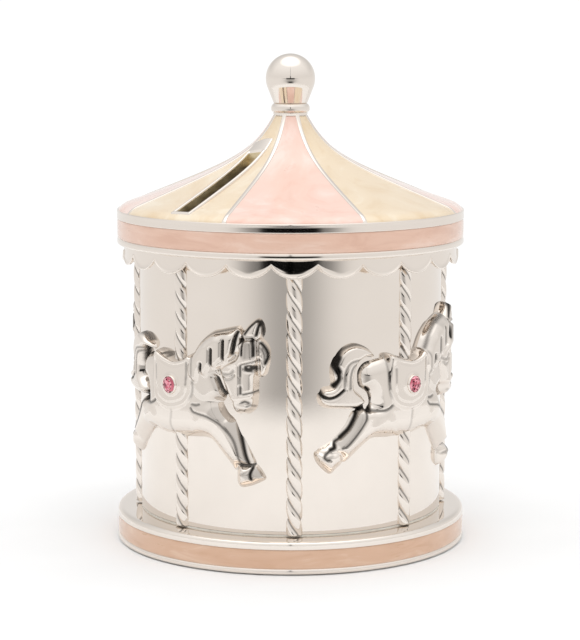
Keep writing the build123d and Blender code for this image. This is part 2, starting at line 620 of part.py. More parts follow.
# ---- all nodes ---------------------------------------------------------------------------------------------
nodes["plinth"] = plinth()
nodes["plinth_enamel"] = ring(PLINTH_R - SKIN, PLINTH_R, BAND_LOW, BAND_HIGH)
nodes["base_plate"] = base_plate()
nodes["base_pad"] = ring(PAD_INNER, PAD_OUTER, 0, PLATE_LOW)
nodes["base_plate_screws"] = base_plate_screws()
nodes["glide_ring"] = ring(DRUM_IN + 0.1, DRUM_R - 0.1, PLINTH_TOP, DRUM_BOTTOM - RUN)
nodes["movement_bedplate"] = movement_bedplate()
nodes["movement_screws"] = movement_screws()
nodes["comb"] = comb()
nodes["comb_screws"] = comb_screws()
nodes["governor_frame"] = governor_frame()
nodes["click_spring"] = click_spring()
nodes["winding_key"] = winding_key()
nodes["winding_arbor"] = winding_arbor()
nodes["great_wheel"] = great_wheel()
nodes["spring_barrel"] = spring_barrel()
nodes["mainspring"] = mainspring()
nodes["barrel_cover"] = barrel_cover()
nodes["drive_hub"] = drive_hub()
nodes["cylinder_arbor"] = cylinder_arbor()
nodes["tune_cylinder"] = tune_cylinder()
nodes["tune_pins"] = tune_pins()
nodes["cylinder_gear"] = cylinder_gear()
nodes["governor_arbor"] = governor_arbor()
nodes["governor_worm_wheel"] = governor_worm_wheel()
nodes["governor_worm"] = governor_worm()
nodes["governor_fan"] = governor_fan()
nodes["drum_shell"] = drum_shell()
nodes["drum_floor"] = drum_floor()
nodes["floor_screws"] = floor_screws()
for k in range(POLES):
    nodes["pole_%d" % (k + 1)] = turned(pole(), FIRST_POLE + POLE_STEP * k)
for k in range(HORSES):
    nodes["horse_%d" % (k + 1)] = turned(horse(), HORSE_FIRST + HORSE_STEP * k)
nodes["saddle_crystals"] = [turned(crystal(), HORSE_FIRST + HORSE_STEP * k) for k in range(HORSES)]
nodes["crystal_bezels"] = [turned(crystal_bezel(), HORSE_FIRST + HORSE_STEP * k) for k in range(HORSES)]
nodes["roof_shell"] = roof_shell()
for k, field in enumerate(enamel_fields()):
    colour = "pink" if k % 2 == 0 else "ivory"
    nodes["%s_panel_%d" % (colour, k // 2 + 1)] = field
nodes["slot_frame"] = slot_frame()
nodes["fascia_enamel"] = fascia_enamel()
nodes["valance"] = valance()
nodes["roof_gasket"] = roof_gasket()
nodes["finial_collar"] = finial_collar()
nodes["finial_ball"] = finial_ball()
nodes["finial_stud"] = finial_stud()

os.makedirs("parts", exist_ok=True)
for name, shape in nodes.items():
    if isinstance(shape, list):
        shape = Compound(children=shape)
    export_step(shape, "parts/%s.step" % name)
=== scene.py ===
import bpy
import numpy as np
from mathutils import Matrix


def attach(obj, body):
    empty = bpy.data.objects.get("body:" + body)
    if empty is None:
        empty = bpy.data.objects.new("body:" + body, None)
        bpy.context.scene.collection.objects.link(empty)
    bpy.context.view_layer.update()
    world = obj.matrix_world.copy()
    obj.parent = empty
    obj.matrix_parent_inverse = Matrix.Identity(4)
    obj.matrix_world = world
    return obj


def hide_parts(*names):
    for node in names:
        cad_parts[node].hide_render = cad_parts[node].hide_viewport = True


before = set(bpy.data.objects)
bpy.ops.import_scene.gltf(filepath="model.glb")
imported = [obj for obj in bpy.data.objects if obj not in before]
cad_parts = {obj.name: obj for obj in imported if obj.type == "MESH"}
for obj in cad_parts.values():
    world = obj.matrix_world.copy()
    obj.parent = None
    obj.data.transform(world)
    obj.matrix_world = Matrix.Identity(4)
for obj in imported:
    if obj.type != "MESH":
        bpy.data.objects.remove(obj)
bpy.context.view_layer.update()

# ---- plinth ----
# The plinth is a shallow pressed ring, silver plated and polished, with a shallow channel for the enamel band.
# Its top is flat from the drum outwards and rolls over a rounded lip.  Four screw bosses stand under it.
MM = 0.001


def new_piece(name, points, faces, material, smooth=True):
    """Mesh in metres from points in millimetres and faces: a table of four corners each, or lists of any length."""
    mesh = bpy.data.meshes.new(name)
    faces = faces.tolist() if isinstance(faces, np.ndarray) else faces
    mesh.from_pydata((np.asarray(points, float).reshape(-1, 3) * MM).tolist(), [], faces)
    mesh.polygons.foreach_set("use_smooth", np.full(len(mesh.polygons), smooth))
    mesh.materials.append(material)
    mesh.update()
    piece = bpy.data.objects.new(name, mesh)
    bpy.context.scene.collection.objects.link(piece)
    return piece


def belongs(piece, body, node=None):
    """Gives a piece its body, and hides the CAD node whose place it takes, if there is one."""
    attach(piece, body)
    if node:
        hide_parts(node)


def loop_faces(rows, columns):
    """Faces of a grid that closes on itself both ways: point i, j joins i+1 and j+1, counted round."""
    i, j = np.meshgrid(np.arange(rows), np.arange(columns), indexing="ij")
    up, along = (i + 1) % rows, (j + 1) % columns
    corners = [i * columns + j, up * columns + j, up * columns + along, i * columns + along]
    return np.stack(corners, -1).reshape(-1, 4)


def on_circle(r, a, z):
    """Points at a radius, an azimuth counted from -Y, and a height: x = r sin a, y = -r cos a."""
    return np.stack(np.broadcast_arrays(r * np.sin(a), -r * np.cos(a), z), -1)


def turned_outline(outline, segments):
    """Outline (radius, height), closed on itself, carried round the upright axis."""
    outline = np.asarray(outline, float)
    a = np.linspace(0, 2 * np.pi, segments, endpoint=False)[:, None]
    return on_circle(outline[None, :, 0], a, outline[None, :, 1])


def held(outline, reach=0.05, long_side=0.5):
    """Outline with a point just inside each end of every long side, so that flat stretches shade flat."""
    result = []
    for here, there in zip(outline, outline[1:] + outline[:1]):
        here, there = np.array(here), np.array(there)
        length = np.hypot(*(there - here))
        result.append(here)
        if length > long_side:
            result += [here + (there - here) * reach / length, there - (there - here) * reach / length]
    return result


def turned_piece(name, outline, material, segments=360):
    """Ring-shaped piece from an outline that runs counter-clockwise in (radius, height)."""
    outline = held(outline)
    points = turned_outline(outline, segments)
    return new_piece(name, points, loop_faces(segments, len(outline)), material)


def new_material(name):
    """Empty node material with its main shader, as (material, tree, shader)."""
    material = bpy.data.materials.new(name)
    material.use_nodes = True
    return material, material.node_tree, material.node_tree.nodes["Principled BSDF"]


def set_inputs(tree, node, inputs):
    """Sets a node's inputs by name: another node's output is linked in, anything else is a plain value."""
    for socket, value in inputs.items():
        if isinstance(value, bpy.types.NodeSocket):
            tree.links.new(value, node.inputs[socket])
        else:
            node.inputs[socket].default_value = value


def new_node(tree, kind, inputs):
    """New shader node of a kind, with its inputs set."""
    node = tree.nodes.new("ShaderNode" + kind)
    set_inputs(tree, node, inputs)
    return node


def cloud(tree, scale, detail=3.0, stretch=(1, 1, 1), rough=0.5, twist=0.0):
    """Noise on the piece's own coordinates, stretched along the axes; scale counts features per metre."""
    place = new_node(tree, "TexCoord", {}).outputs["Object"]
    mapped = new_node(tree, "Mapping", {"Vector": place, "Scale": stretch}).outputs["Vector"]
    noise = new_node(tree, "TexNoise", {"Vector": mapped, "Scale": scale, "Detail": detail, "Roughness": rough,
                                        "Distortion": twist})
    return noise.outputs["Fac"]


def ramp(tree, value, stops):
    """Colour that runs through (position, colour) stops as the value goes from 0 to 1."""
    node = new_node(tree, "ValToRGB", {"Fac": value})
    node.color_ramp.interpolation = "EASE"
    while len(node.color_ramp.elements) < len(stops):
        node.color_ramp.elements.new(0.5)
    for element, (position, colour) in zip(node.color_ramp.elements, stops):
        element.position = position
        element.color = (*colour, 1)
    return node.outputs["Color"]


def spread(tree, value, low, high):
    """Middle half of a value's range, 0.25 to 0.75, carried onto low..high and held there beyond it."""
    limits = {"From Min": 0.25, "From Max": 0.75, "To Min": low, "To Max": high}
    return new_node(tree, "MapRange", {"Value": value, **limits}).outputs["Result"]


def grain(tree, shader, height, depth):
    """Fine relief from a height value; depth is in metres."""
    bump = new_node(tree, "Bump", {"Strength": 1.0, "Distance": depth, "Height": height})
    set_inputs(tree, shader, {"Normal": bump.outputs["Normal"]})


def metal(name, dark, light, roughness, scale=60, stretch=(1, 1, 1), depth=1e-6, grain_scale=400):
    """Metal whose colour and gloss drift slowly over the piece, with a fine surface grain."""
    material, tree, shader = new_material(name)
    drift = cloud(tree, scale, 3, stretch)
    set_inputs(tree, shader, {"Base Color": ramp(tree, drift, [(0.3, dark), (0.7, light)]),
                              "Roughness": spread(tree, drift, *roughness), "Metallic": 1.0})
    grain(tree, shader, cloud(tree, grain_scale, 4, stretch), depth)
    return material


SILVER_DARK, SILVER_LIGHT = (0.815, 0.75, 0.685), (0.84, 0.775, 0.712)
silver_plate = metal("silver_plate", SILVER_DARK, SILVER_LIGHT, (0.035, 0.06), 45, depth=6e-7, grain_scale=120)
soft_silver = metal("soft_silver", SILVER_DARK, SILVER_LIGHT, (0.10, 0.16), 45, depth=1.5e-6, grain_scale=700)

PLINTH_OUTLINE = [
    (49.0, 0.3), (50.2, 0.3), (50.48, 0.42), (50.6, 0.75), (50.58, 1.2), (50.42, 1.62), (50.24, 1.8), (50.2, 1.82),
    (50.2, 7.08), (50.4, 7.1), (50.55, 7.18), (50.6, 7.35), (50.54, 8.4), (50.4, 8.78), (50.15, 9.05), (49.85, 9.22),
    (49.5, 9.34), (49.0, 9.39), (48.4, 9.4), (44.2, 9.4), (38.0, 9.4), (38.0, 7.8), (49.0, 7.8)]
plinth_ring = turned_piece("plinth_ring", PLINTH_OUTLINE, silver_plate)
belongs(plinth_ring, "base", "plinth")

BOSS_OUTLINE = [(1.05, 2.6), (2.5, 2.6), (2.6, 2.75), (2.6, 8.0), (1.05, 8.0)]
BOSS_AT, BOSS_SEGMENTS = 45.6, 36
boss_faces = loop_faces(BOSS_SEGMENTS, len(BOSS_OUTLINE))
for number, turn in enumerate(np.radians([0, 90, 180, 270])):
    points = turned_outline(BOSS_OUTLINE, BOSS_SEGMENTS) + on_circle(BOSS_AT, turn, 0.0)
    boss = new_piece("plinth_boss_%d" % (number + 1), points, boss_faces, soft_silver)
    belongs(boss, "base")

# ---- plinth enamel ----
# Peach enamel is laid into the plinth's channel and stoned back level with the silver.  It is a pearly lacquer
# enamel, with fine paler streaks drawn round the band while it was wet.


def enamel(name, colours, scale, stretch, twist, coat=0.9):
    """Pearly enamel: drifting clouds of three tones under a clear glossy coat, with a trace of ripple."""
    material, tree, shader = new_material(name)
    swirl = cloud(tree, scale, 5, stretch, 0.55, twist)
    stops = [(0.30, colours[0]), (0.5, colours[1]), (0.70, colours[2])]
    set_inputs(tree, shader, {
        "Base Color": ramp(tree, swirl, stops), "Coat Weight": coat, "Coat Roughness": 0.05,
        "Roughness": spread(tree, cloud(tree, scale * 3, 3, stretch), 0.26, 0.40), "Specular IOR Level": 0.55})
    grain(tree, shader, cloud(tree, 160, 2), 4e-6)
    return material


PEACH = [(0.62, 0.375, 0.24), (0.67, 0.425, 0.285), (0.735, 0.51, 0.37)]
peach_enamel = enamel("peach_enamel", PEACH, 60, (1, 1, 5), 0.9)
PLINTH_BAND = [
    (50.0, 1.75), (50.3, 1.8), (50.44, 2.05), (50.5, 2.9), (50.52, 4.45), (50.5, 6.0), (50.44, 6.85), (50.3, 7.1),
    (50.0, 7.15)]
plinth_band = turned_piece("plinth_band", PLINTH_BAND, peach_enamel)
belongs(plinth_band, "base", "plinth_enamel")

# ---- base plate and movement ----
# Under the drum sits a going-barrel movement: cast bedplate, steel comb, brass wheels and a fan governor.  The
# zinc base plate closes the plinth, with a felt ring to stand on and a well for the winding key.
zinc = metal("zinc_casting", (0.42, 0.42, 0.43), (0.56, 0.56, 0.57), (0.38, 0.55), 80, depth=2e-5, grain_scale=900)
brass = metal("brass", (0.62, 0.42, 0.14), (0.80, 0.58, 0.25), (0.16, 0.30), 90, depth=2e-6, grain_scale=1500)
steel = metal("steel", (0.50, 0.50, 0.51), (0.68, 0.68, 0.69), (0.18, 0.32), 120, depth=2e-6, grain_scale=1500)
comb_steel = metal("comb_steel", (0.44, 0.43, 0.42), (0.64, 0.63, 0.62), (0.14, 0.26), 90, (1, 8, 1), 3e-6, 1800)
spring_steel = metal("spring_steel", (0.20, 0.23, 0.30), (0.36, 0.38, 0.44), (0.18, 0.30), 90, (1, 1, 6), 2e-6, 1500)


def soft_stuff(name, dark, light, roughness, scale, depth):
    """Nylon or felt: two close tones in fine clouds, with a grain as deep as the stuff is rough."""
    material, tree, shader = new_material(name)
    set_inputs(tree, shader, {"Base Color": ramp(tree, cloud(tree, scale, 5), [(0.35, dark), (0.65, light)]),
                              "Roughness": spread(tree, cloud(tree, scale / 2, 3), *roughness)})
    grain(tree, shader, cloud(tree, scale * 2, 6, rough=0.7), depth)
    return material


nylon = soft_stuff("nylon", (0.78, 0.75, 0.68), (0.86, 0.84, 0.78), (0.35, 0.5), 300, 4e-6)
felt = soft_stuff("felt", (0.10, 0.016, 0.022), (0.20, 0.035, 0.045), (0.9, 1.0), 1400, 1.2e-4)
felt.node_tree.nodes["Principled BSDF"].inputs["Sheen Weight"].default_value = 0.5

CARRIED_OVER = [
    (zinc, ["base_plate", "movement_bedplate", "governor_frame", "drum_floor"]),
    (brass, ["great_wheel", "spring_barrel", "barrel_cover", "drive_hub", "tune_cylinder", "cylinder_gear",
             "governor_fan", "winding_key"]),
    (steel, ["base_plate_screws", "movement_screws", "comb_screws", "winding_arbor", "cylinder_arbor", "tune_pins",
             "governor_arbor", "governor_worm", "floor_screws", "finial_stud"]),
    (comb_steel, ["comb"]),
    (spring_steel, ["mainspring", "click_spring"]),
    (nylon, ["glide_ring", "governor_worm_wheel", "roof_gasket"]),
    (felt, ["base_pad"])]
for finish, names in CARRIED_OVER:
    for name in names:
        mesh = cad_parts[name].data
        mesh.materials.clear()
        mesh.materials.append(finish)

# ---- drum ----
# The drum is a drawn brass tube, silver plated and buffed to a mirror.  It turns on the movement and carries
# the poles, the horses and the coin chamber's floor.
DRUM_R = 43.8
DRUM_OUTLINE = [(42.8, 9.8), (43.65, 9.8), (43.8, 9.95), (43.8, 34.0), (43.8, 60.0), (43.8, 85.05), (43.65, 85.2),
                (42.8, 85.2)]
drum_wall = turned_piece("drum_wall", DRUM_OUTLINE, silver_plate, 720)
belongs(drum_wall, "carousel", "drum_shell")

# ---- poles ----
# Each of the eight poles is a cast rope of three flat strands, soldered upright against the drum, so half of it
# stands out.  Seen from outside, the strands fall to the right.
POLE_R, POLE_AT, STRANDS, LAY, CREVICE = 2.35, 43.05, 3, 17.1, 0.5
FIRST_POLE, EIGHTH = 37.5, 45
# silver with painted shade: a point attribute mixes the silver towards black, and rougher, for the shade and dark
# reflections in the poles' crevices and on the horses
silver_with_painted_shade, tree, shader = new_material("silver_with_painted_shade")
painted_shade = new_node(tree, "Attribute", {})
painted_shade.attribute_name = "painted_shade"
black_mix = tree.nodes.new("ShaderNodeMix")
black_mix.data_type = "RGBA"
set_inputs(tree, black_mix, {"Factor": painted_shade.outputs["Fac"], "B": (0.018, 0.016, 0.014, 1),
                             "A": ramp(tree, cloud(tree, 45, 3), [(0.3, SILVER_DARK), (0.7, SILVER_LIGHT)])})
set_inputs(tree, shader, {"Base Color": black_mix.outputs["Result"], "Metallic": 1.0,
                          "Roughness": spread(tree, painted_shade.outputs["Fac"], 0.05, 0.4)})
grain(tree, shader, cloud(tree, 120, 4), 6e-7)


def keep_painted_shade(piece, values):
    """Painted shade of every point, from 0, bright, to 1, black, kept as an attribute."""
    piece.data.attributes.new("painted_shade", "FLOAT", "POINT").data.foreach_set("value", np.clip(values, 0, 1).ravel())


def rope_pole(first, last, rows=330, around=64, back=0.3):
    """Rope over a round bar: radius = R - crevice |2t - 1|^3, where t is the fractional part of
    strands (angle / turn + height / lay).  The back half is drawn in to lie inside the drum's wall."""
    z = np.linspace(first, last, rows)[:, None]
    b = np.linspace(-np.pi, np.pi, around, endpoint=False)[None, :]
    t = (STRANDS * (b / (2 * np.pi) + z / LAY)) % 1.0
    r = POLE_R - CREVICE * np.abs(2 * t - 1) ** 3
    front = np.cos(b)
    y = -POLE_AT - np.where(front > 0, r, back) * front
    return np.stack([r * np.sin(b), y, z + 0 * b], -1)


def tube_faces(rows, columns):
    """Faces of a tube that is open along its rows and closed round its columns, with a flat end at each end."""
    i, j = np.meshgrid(np.arange(rows - 1), np.arange(columns), indexing="ij")
    along = (j + 1) % columns
    sides = np.stack([i * columns + j, i * columns + along, (i + 1) * columns + along, (i + 1) * columns + j], -1)
    first, last = list(range(columns)), list(range((rows - 1) * columns, rows * columns))
    return sides.reshape(-1, 4).tolist() + [first[::-1], last]


def carried_round(points, degrees):
    """Points modelled on the -Y side, carried round the axis by an angle."""
    a = np.radians(degrees)
    x, y = points[..., 0], points[..., 1]
    return np.stack([x * np.cos(a) - y * np.sin(a), x * np.sin(a) + y * np.cos(a), points[..., 2]], -1)


pole_points = rope_pole(9.85, 84.0)
pole_faces = tube_faces(*pole_points.shape[:2])
# painted shade starts a little below the strands' crests and is at its strongest in the crevices
STARTS_AT, COMES_OVER, STRONGEST = 0.24, 0.22, 0.9
pole_depth = POLE_R - np.hypot(pole_points[..., 0], pole_points[..., 1] + POLE_AT)
pole_painted_shade = STRONGEST * np.clip((pole_depth - STARTS_AT) / COMES_OVER, 0, 1) ** 1.5
for k in range(8):
    points = carried_round(pole_points, FIRST_POLE + EIGHTH * k)
    pole = new_piece("rope_pole_%d" % (k + 1), points, pole_faces, silver_with_painted_shade)
    keep_painted_shade(pole, pole_painted_shade)
    belongs(pole, "carousel", "pole_%d" % (k + 1))

# ---- horses ----
# Each horse is a pressed relief, plated with the drum it is soldered to.  It gallops round the drum with its
# face turned outwards, in bridle and saddle, with a plaited mane and a curled tail.
GRID = 0.2
FIRST_HORSE, STONE_ARC, STONE_Z = -7.5, -0.5, 50.0
RELIEF_LOW, RELIEF_TOP, SEAT_TOP = -0.45, 4.2, 4.0
arc, tall = np.meshgrid(np.arange(-30.4, 29.8, GRID), np.arange(21.6, 71.2, GRID), indexing="ij")

TRUNK = [(-12, 58.3), (-7, 58.7), (0, 57.2), (5, 58.3), (9, 58), (12.2, 54), (13.6, 49), (15.5, 43.8), (16.3, 42),
         (15, 38.5), (11.5, 36.2), (8.5, 36), (0, 35.2), (-6, 35.6), (-11, 36), (-14.5, 36.8), (-15.2, 40),
         (-13.3, 44), (-13.4, 46), (-14.3, 48.5), (-16.7, 49.8), (-17.2, 52), (-17.2, 55), (-15.2, 57.5)]
HIND_LEG = [(-6.6, 44), (-14.2, 45.5), (-17.9, 44.2), (-20.4, 40), (-24.1, 36), (-28.3, 33.4), (-26.7, 31.5),
            (-22, 31), (-20.4, 29.7), (-17.3, 32), (-14.1, 34.5), (-11, 36), (-5.7, 35.8), (-4.4, 38)]
HIND_HOOF = [(-28.8, 33.1), (-28.7, 30.5), (-26.7, 28), (-24.6, 26.6), (-22.9, 27.9), (-21, 30), (-21.4, 33.6),
             (-24.2, 34.2)]
FORE_LEG = [(5.2, 41), (7.2, 46), (11.9, 47), (14.8, 44.6), (16.3, 43), (17.9, 41.8), (20, 38), (22.1, 34),
            (24.1, 30), (23.6, 28.6), (18.8, 28.4), (18.4, 27.2), (16.9, 29), (14.2, 32), (11.1, 35.3), (8.5, 36.3),
            (5.1, 36.6)]
FORE_HOOF = [(19.1, 29.3), (21.6, 29.6), (24.1, 29.7), (26.7, 26.2), (26.2, 25), (22.8, 23.4), (19.8, 22.8),
             (18.6, 24.5)]
NECK = [(4.2, 57), (4.8, 58), (6.9, 61.5), (9, 63.8), (12.1, 65.8), (14.2, 66.3), (18.4, 67.3), (20, 67.2),
        (21, 64), (20.5, 60), (18.6, 50), (14.6, 46.5), (9.2, 45), (4.8, 49)]
MANE = [(5, 57.5), (7.1, 61.5), (9.2, 63.8), (12.3, 65.8), (14.4, 66.3), (18.5, 67.3), (20.1, 67), (20.8, 61),
        (18.2, 59.8), (16.2, 57.7), (15.6, 58.3), (13.2, 56), (12.2, 56.5), (10.4, 53.5), (9.1, 54.8), (8, 51.6),
        (5.8, 53.5)]
FACE = [(13.7, 56.3), (13.8, 54.6), (15.1, 51.5), (16.5, 48), (17.2, 46.8), (17.7, 44.7), (19.1, 43.2),
        (20.4, 43.4), (22.2, 43.4), (24.2, 45), (24.8, 47.5), (24.9, 50.5), (25, 53.5), (25.5, 57), (25.4, 60),
        (25.1, 63.6), (24, 64.9), (21.2, 64.8), (19.5, 62.5), (18.8, 59.6), (16, 57.8)]
EAR = [(19.9, 64.6), (21.7, 67.5), (23.7, 69.3), (25.3, 69.8), (26.5, 68), (26.6, 65.5), (25.1, 63.6), (21.7, 63.6)]
FAR_EAR = [(25, 64.3), (26.8, 63.5), (28, 61.5), (28.1, 59), (27.6, 56), (26.8, 54.2), (25.2, 53.6), (24.8, 57),
           (24.7, 61)]
TAIL = [(-11.4, 58.2), (-13.1, 60.5), (-15.7, 62), (-18.3, 62.6), (-20.9, 61.8), (-23.5, 59.5), (-24.6, 57),
        (-24.8, 54.5), (-24.6, 51.4), (-26.7, 50.8), (-28.2, 49), (-28, 46.5), (-26.1, 45), (-22.5, 44.6),
        (-19.9, 44.4), (-17.3, 44.5), (-14.6, 46), (-15.5, 47.8), (-17.5, 49.6), (-18, 51), (-17.9, 54),
        (-16.6, 57), (-14.1, 58.4)]
SADDLE = [(-8.3, 58.6), (-6.8, 59), (-3.5, 57.8), (0, 57), (3.2, 57.8), (5, 59), (6.7, 57.5), (6.8, 53), (6.6, 48.5),
          (4.6, 45), (0.5, 43.3), (-3, 43.3), (-6.6, 45), (-8.2, 48.5), (-8.5, 53)]


def smooth_line(points, closed, parts):
    """Smooth line through points: each gap is the cubic that leaves and arrives along its neighbours' chords."""
    p = np.asarray(points, float)
    if closed:
        p, t = np.concatenate([p[-1:], p, p[:2]]), np.arange(parts) / parts
    else:
        p, t = np.concatenate([[2 * p[0] - p[1]], p, [2 * p[-1] - p[-2]]]), np.linspace(0, 1, parts)
    t = t[None, :, None]
    a, b, c, d = p[:-3, None], p[1:-2, None], p[2:-1, None], p[3:, None]
    curve = 0.5 * (2 * b + (c - a) * t + (2 * a - 5 * b + 4 * c - d) * t ** 2 + (3 * b - a - 3 * c + d) * t ** 3)
    return curve.reshape(-1, 2)


def nearest(starts, ends):
    """Distance of every grid point from the nearest of a row of straight sides."""
    near = np.full(arc.shape, np.inf)
    for (ax, az), (bx, bz) in zip(starts, ends):
        square = max((bx - ax) ** 2 + (bz - az) ** 2, 1e-9)
        along = np.clip(((arc - ax) * (bx - ax) + (tall - az) * (bz - az)) / square, 0, 1)
        near = np.minimum(near, (arc - ax - along * (bx - ax)) ** 2 + (tall - az - along * (bz - az)) ** 2)
    return np.sqrt(near)


def depth_inside(outline):
    """Distance of every grid point from a smooth closed outline, positive inside it: the shortest distance to any
    of its sides, with the side of the line found by counting crossings."""
    a = smooth_line(outline, True, 5)
    b = np.roll(a, -1, 0)
    inside = np.zeros(arc.shape, bool)
    for (ax, az), (bx, bz) in zip(a, b):
        if az != bz:
            inside ^= ((az > tall) != (bz > tall)) & (arc < (bx - ax) * (tall - az) / (bz - az) + ax)
    return np.where(inside, 1, -1) * nearest(a, b)


def line_distance(points):
    """Distance of every grid point from a smooth open line through the points."""
    curve = smooth_line(points, False, 6)
    return nearest(curve[:-1], curve[1:])


def pillow(depth, height, width, power=2.2):
    """Rounded edge: height (1 - (1 - depth / width)^power) inside, and a steep fall below the wall outside."""
    inside = height * (1 - (1 - np.clip(depth / width, 0, 1)) ** power)
    return np.where(depth > 0, inside, depth * height * power / width)


def blended(one, other, reach):
    """The higher of two surfaces, with the valley between them rounded over the given height."""
    mix = np.clip(0.5 + 0.5 * (one - other) / reach, 0, 1)
    return one * mix + other * (1 - mix) + reach * mix * (1 - mix)


def soft_step(value, low, high):
    """0 below low, 1 above high, smooth between."""
    t = np.clip((value - low) / (high - low), 0, 1)
    return t * t * (3 - 2 * t)


# painted shade and painted reflection on the horses, from 0, bright, to 1, black: dark lines, shaded planes, dark
# hollows and the feet of steps
horse_painted_shade = np.zeros(arc.shape)


def darken(amount):
    """Painted shade is the darkest of what has been asked for at each point, from 0, bright, to 1, black."""
    horse_painted_shade[:] = np.maximum(horse_painted_shade, amount)


def shade(outline, amount, low, high):
    """Darkens the inside of an outline, by an amount that grows from none at depth low to all of it at high."""
    darken(amount * soft_step(depth_inside(outline), low, high))


def engrave(lines):
    """Cuts lines into the relief, each given as points, depth, half width and blackness: a valley shaped as
    e^-(distance / half)^2, with painted shade as dark as its blackness along its bottom over most of its width."""
    for points, deep, half, dark in lines:
        distance = line_distance(points)
        darken(dark * soft_step(half * 1.5 - distance, 0, half * 0.6))
        relief[:] -= deep * np.exp(-(distance / half) ** 2)


# trunk and legs: the barrel leans back above its fullest line, and each leg is a two-sided ridge
trunk_depth = depth_inside(TRUNK)
relief = pillow(trunk_depth, 3.5, 5.0, 2.4) - 0.085 * np.clip(tall - 43.5, 0, 20)
for leg, width, reach in ((HIND_LEG, 3.6, 1.6), (FORE_LEG, 3.4, 1.4)):
    relief = blended(relief, pillow(depth_inside(leg), 3.3, width, 1.7), reach)
for hoof, height in ((HIND_HOOF, 2.9), (FORE_HOOF, 3.0)):
    relief = np.maximum(relief, pillow(depth_inside(hoof), height, 2.6, 1.6))
# painted shade on the barrel above its fullest line
darken(0.06 * soft_step(trunk_depth, 0.4, 1.6) * soft_step(tall, 43.0, 44.5))
engrave([([(-1, 36.3), (-0.9, 39), (-0.5, 43.2)], 0.18, 0.3, 0.25)])

# the chest's crest runs on down the fore leg, with a plane of painted shade between it and the shin's line of painted
# black reflection
shade([(16.5, 44.2), (19.2, 41), (20.6, 35.4), (22.4, 29.8), (20.4, 29.7), (19.6, 32.4), (18.4, 36), (16.4, 38.8),
       (13.8, 41), (11.2, 42.3), (12.5, 45)], 0.28, -0.25, 0.35)
shade([(6.4, 44), (11, 42.6), (14.5, 41), (17.5, 43), (14.5, 47), (9, 50)], 0.10, -0.3, 1.4)
shade([(20.2, 26.4), (22.6, 27.6), (23.8, 29), (26.2, 26.4), (23, 25.4)], 0.35, -0.1, 0.3)
CHEST_CREST = [(6.2, 44.2), (7, 43.2), (8.8, 42.8), (11.2, 42.3), (13.8, 41), (16.4, 38.8), (18.4, 36), (19.6, 32.4),
               (20.2, 29.8)]
engrave([
    (CHEST_CREST, 0.28, 0.26, 0.8),
    ([(19.0, 40.6), (19.6, 38.2), (20.5, 35.2), (21.4, 32.2), (22.3, 29.9)], 0.75, 0.36, 1),
    ([(19.4, 29.3), (21.6, 29.2), (23.9, 29.5)], 0.5, 0.3, 0.9),
    ([(23.4, 28.6), (22.9, 27), (23.1, 25.6)], 0.4, 0.42, 1),
    ([(23.8, 29.2), (22, 27.6), (19.8, 26.6)], 0.25, 0.2, 0.5),
    ([(23.6, 33.2), (24.3, 31.4), (25.2, 29.6)], 0.2, 0.26, 0.8)])

# the thigh and hock have the same two lines, with the same painted shade and painted black reflection
shade([(-15.2, 43.9), (-15.4, 42), (-16.3, 40.1), (-18.3, 37.2), (-20.6, 34.7), (-22, 34.2), (-23.2, 35.9),
       (-19.9, 39), (-18.2, 41.6), (-17.2, 43.7)], 0.28, -0.15, 0.25)
shade([(-25.2, 33.4), (-26.5, 31.9), (-25.3, 31), (-24, 32.2)], 0.3, -0.1, 0.3)
engrave([
    ([(-15.0, 44.6), (-15.2, 42), (-16.2, 40), (-18.3, 37.1), (-20.6, 34.6), (-21.9, 34.0)], 0.3, 0.26, 0.9),
    ([(-17.4, 43.5), (-18.3, 41.4), (-19.7, 39.1), (-22.0, 36.8)], 0.8, 0.4, 1),
    ([(-22.0, 36.8), (-23.6, 35.6), (-23.6, 34.6)], 0.35, 0.26, 1),
    ([(-23.7, 34.9), (-23.9, 34.1), (-24.9, 33.6)], 0.5, 0.42, 1),
    ([(-25.3, 33.2), (-26.6, 31.8), (-26.0, 31.0), (-25.2, 30.9)], 0.35, 0.3, 0.9),
    ([(-14.6, 44.1), (-12.6, 43.6), (-10, 43.5), (-8.2, 44.1), (-7.4, 44.7)], 0.5, 0.34, 0.75),
    ([(-17.6, 44.2), (-16.2, 44.6), (-14.6, 44.6)], 0.7, 0.5, 1)])

# neck and mane
neck_depth = depth_inside(NECK)
relief = blended(relief, pillow(neck_depth, 3.3, 3.6, 2.2), 1.2)
# painted shade on the neck
darken(0.08 * soft_step(neck_depth, 0.3, 1.5))
relief += np.maximum(pillow(depth_inside(MANE), 0.75, 0.8, 2.0), 0)
engrave([
    ([(9.3, 54.9), (9.5, 56.7)], 1.1, 0.36, 1),
    ([(12.4, 56.9), (12.5, 61.0)], 1.1, 0.36, 1),
    ([(15.8, 58.6), (15.9, 63.6)], 1.1, 0.36, 1),
    ([(18.3, 60.2), (18.8, 62.8), (19.5, 66)], 1.1, 0.36, 1),
    ([(6.3, 59), (8.6, 62.4), (11.9, 65.0), (14.3, 65.8), (18.8, 66.9)], 0.2, 0.24, 0.7)])
for crest in ([(7.4, 53.2), (7.2, 58)], [(10.6, 54.6), (10.6, 61)], [(14, 57), (13.9, 63.5)],
              [(17, 58.6), (17.2, 65)]):
    relief += 0.22 * np.exp(-(line_distance(crest) / 0.9) ** 2)

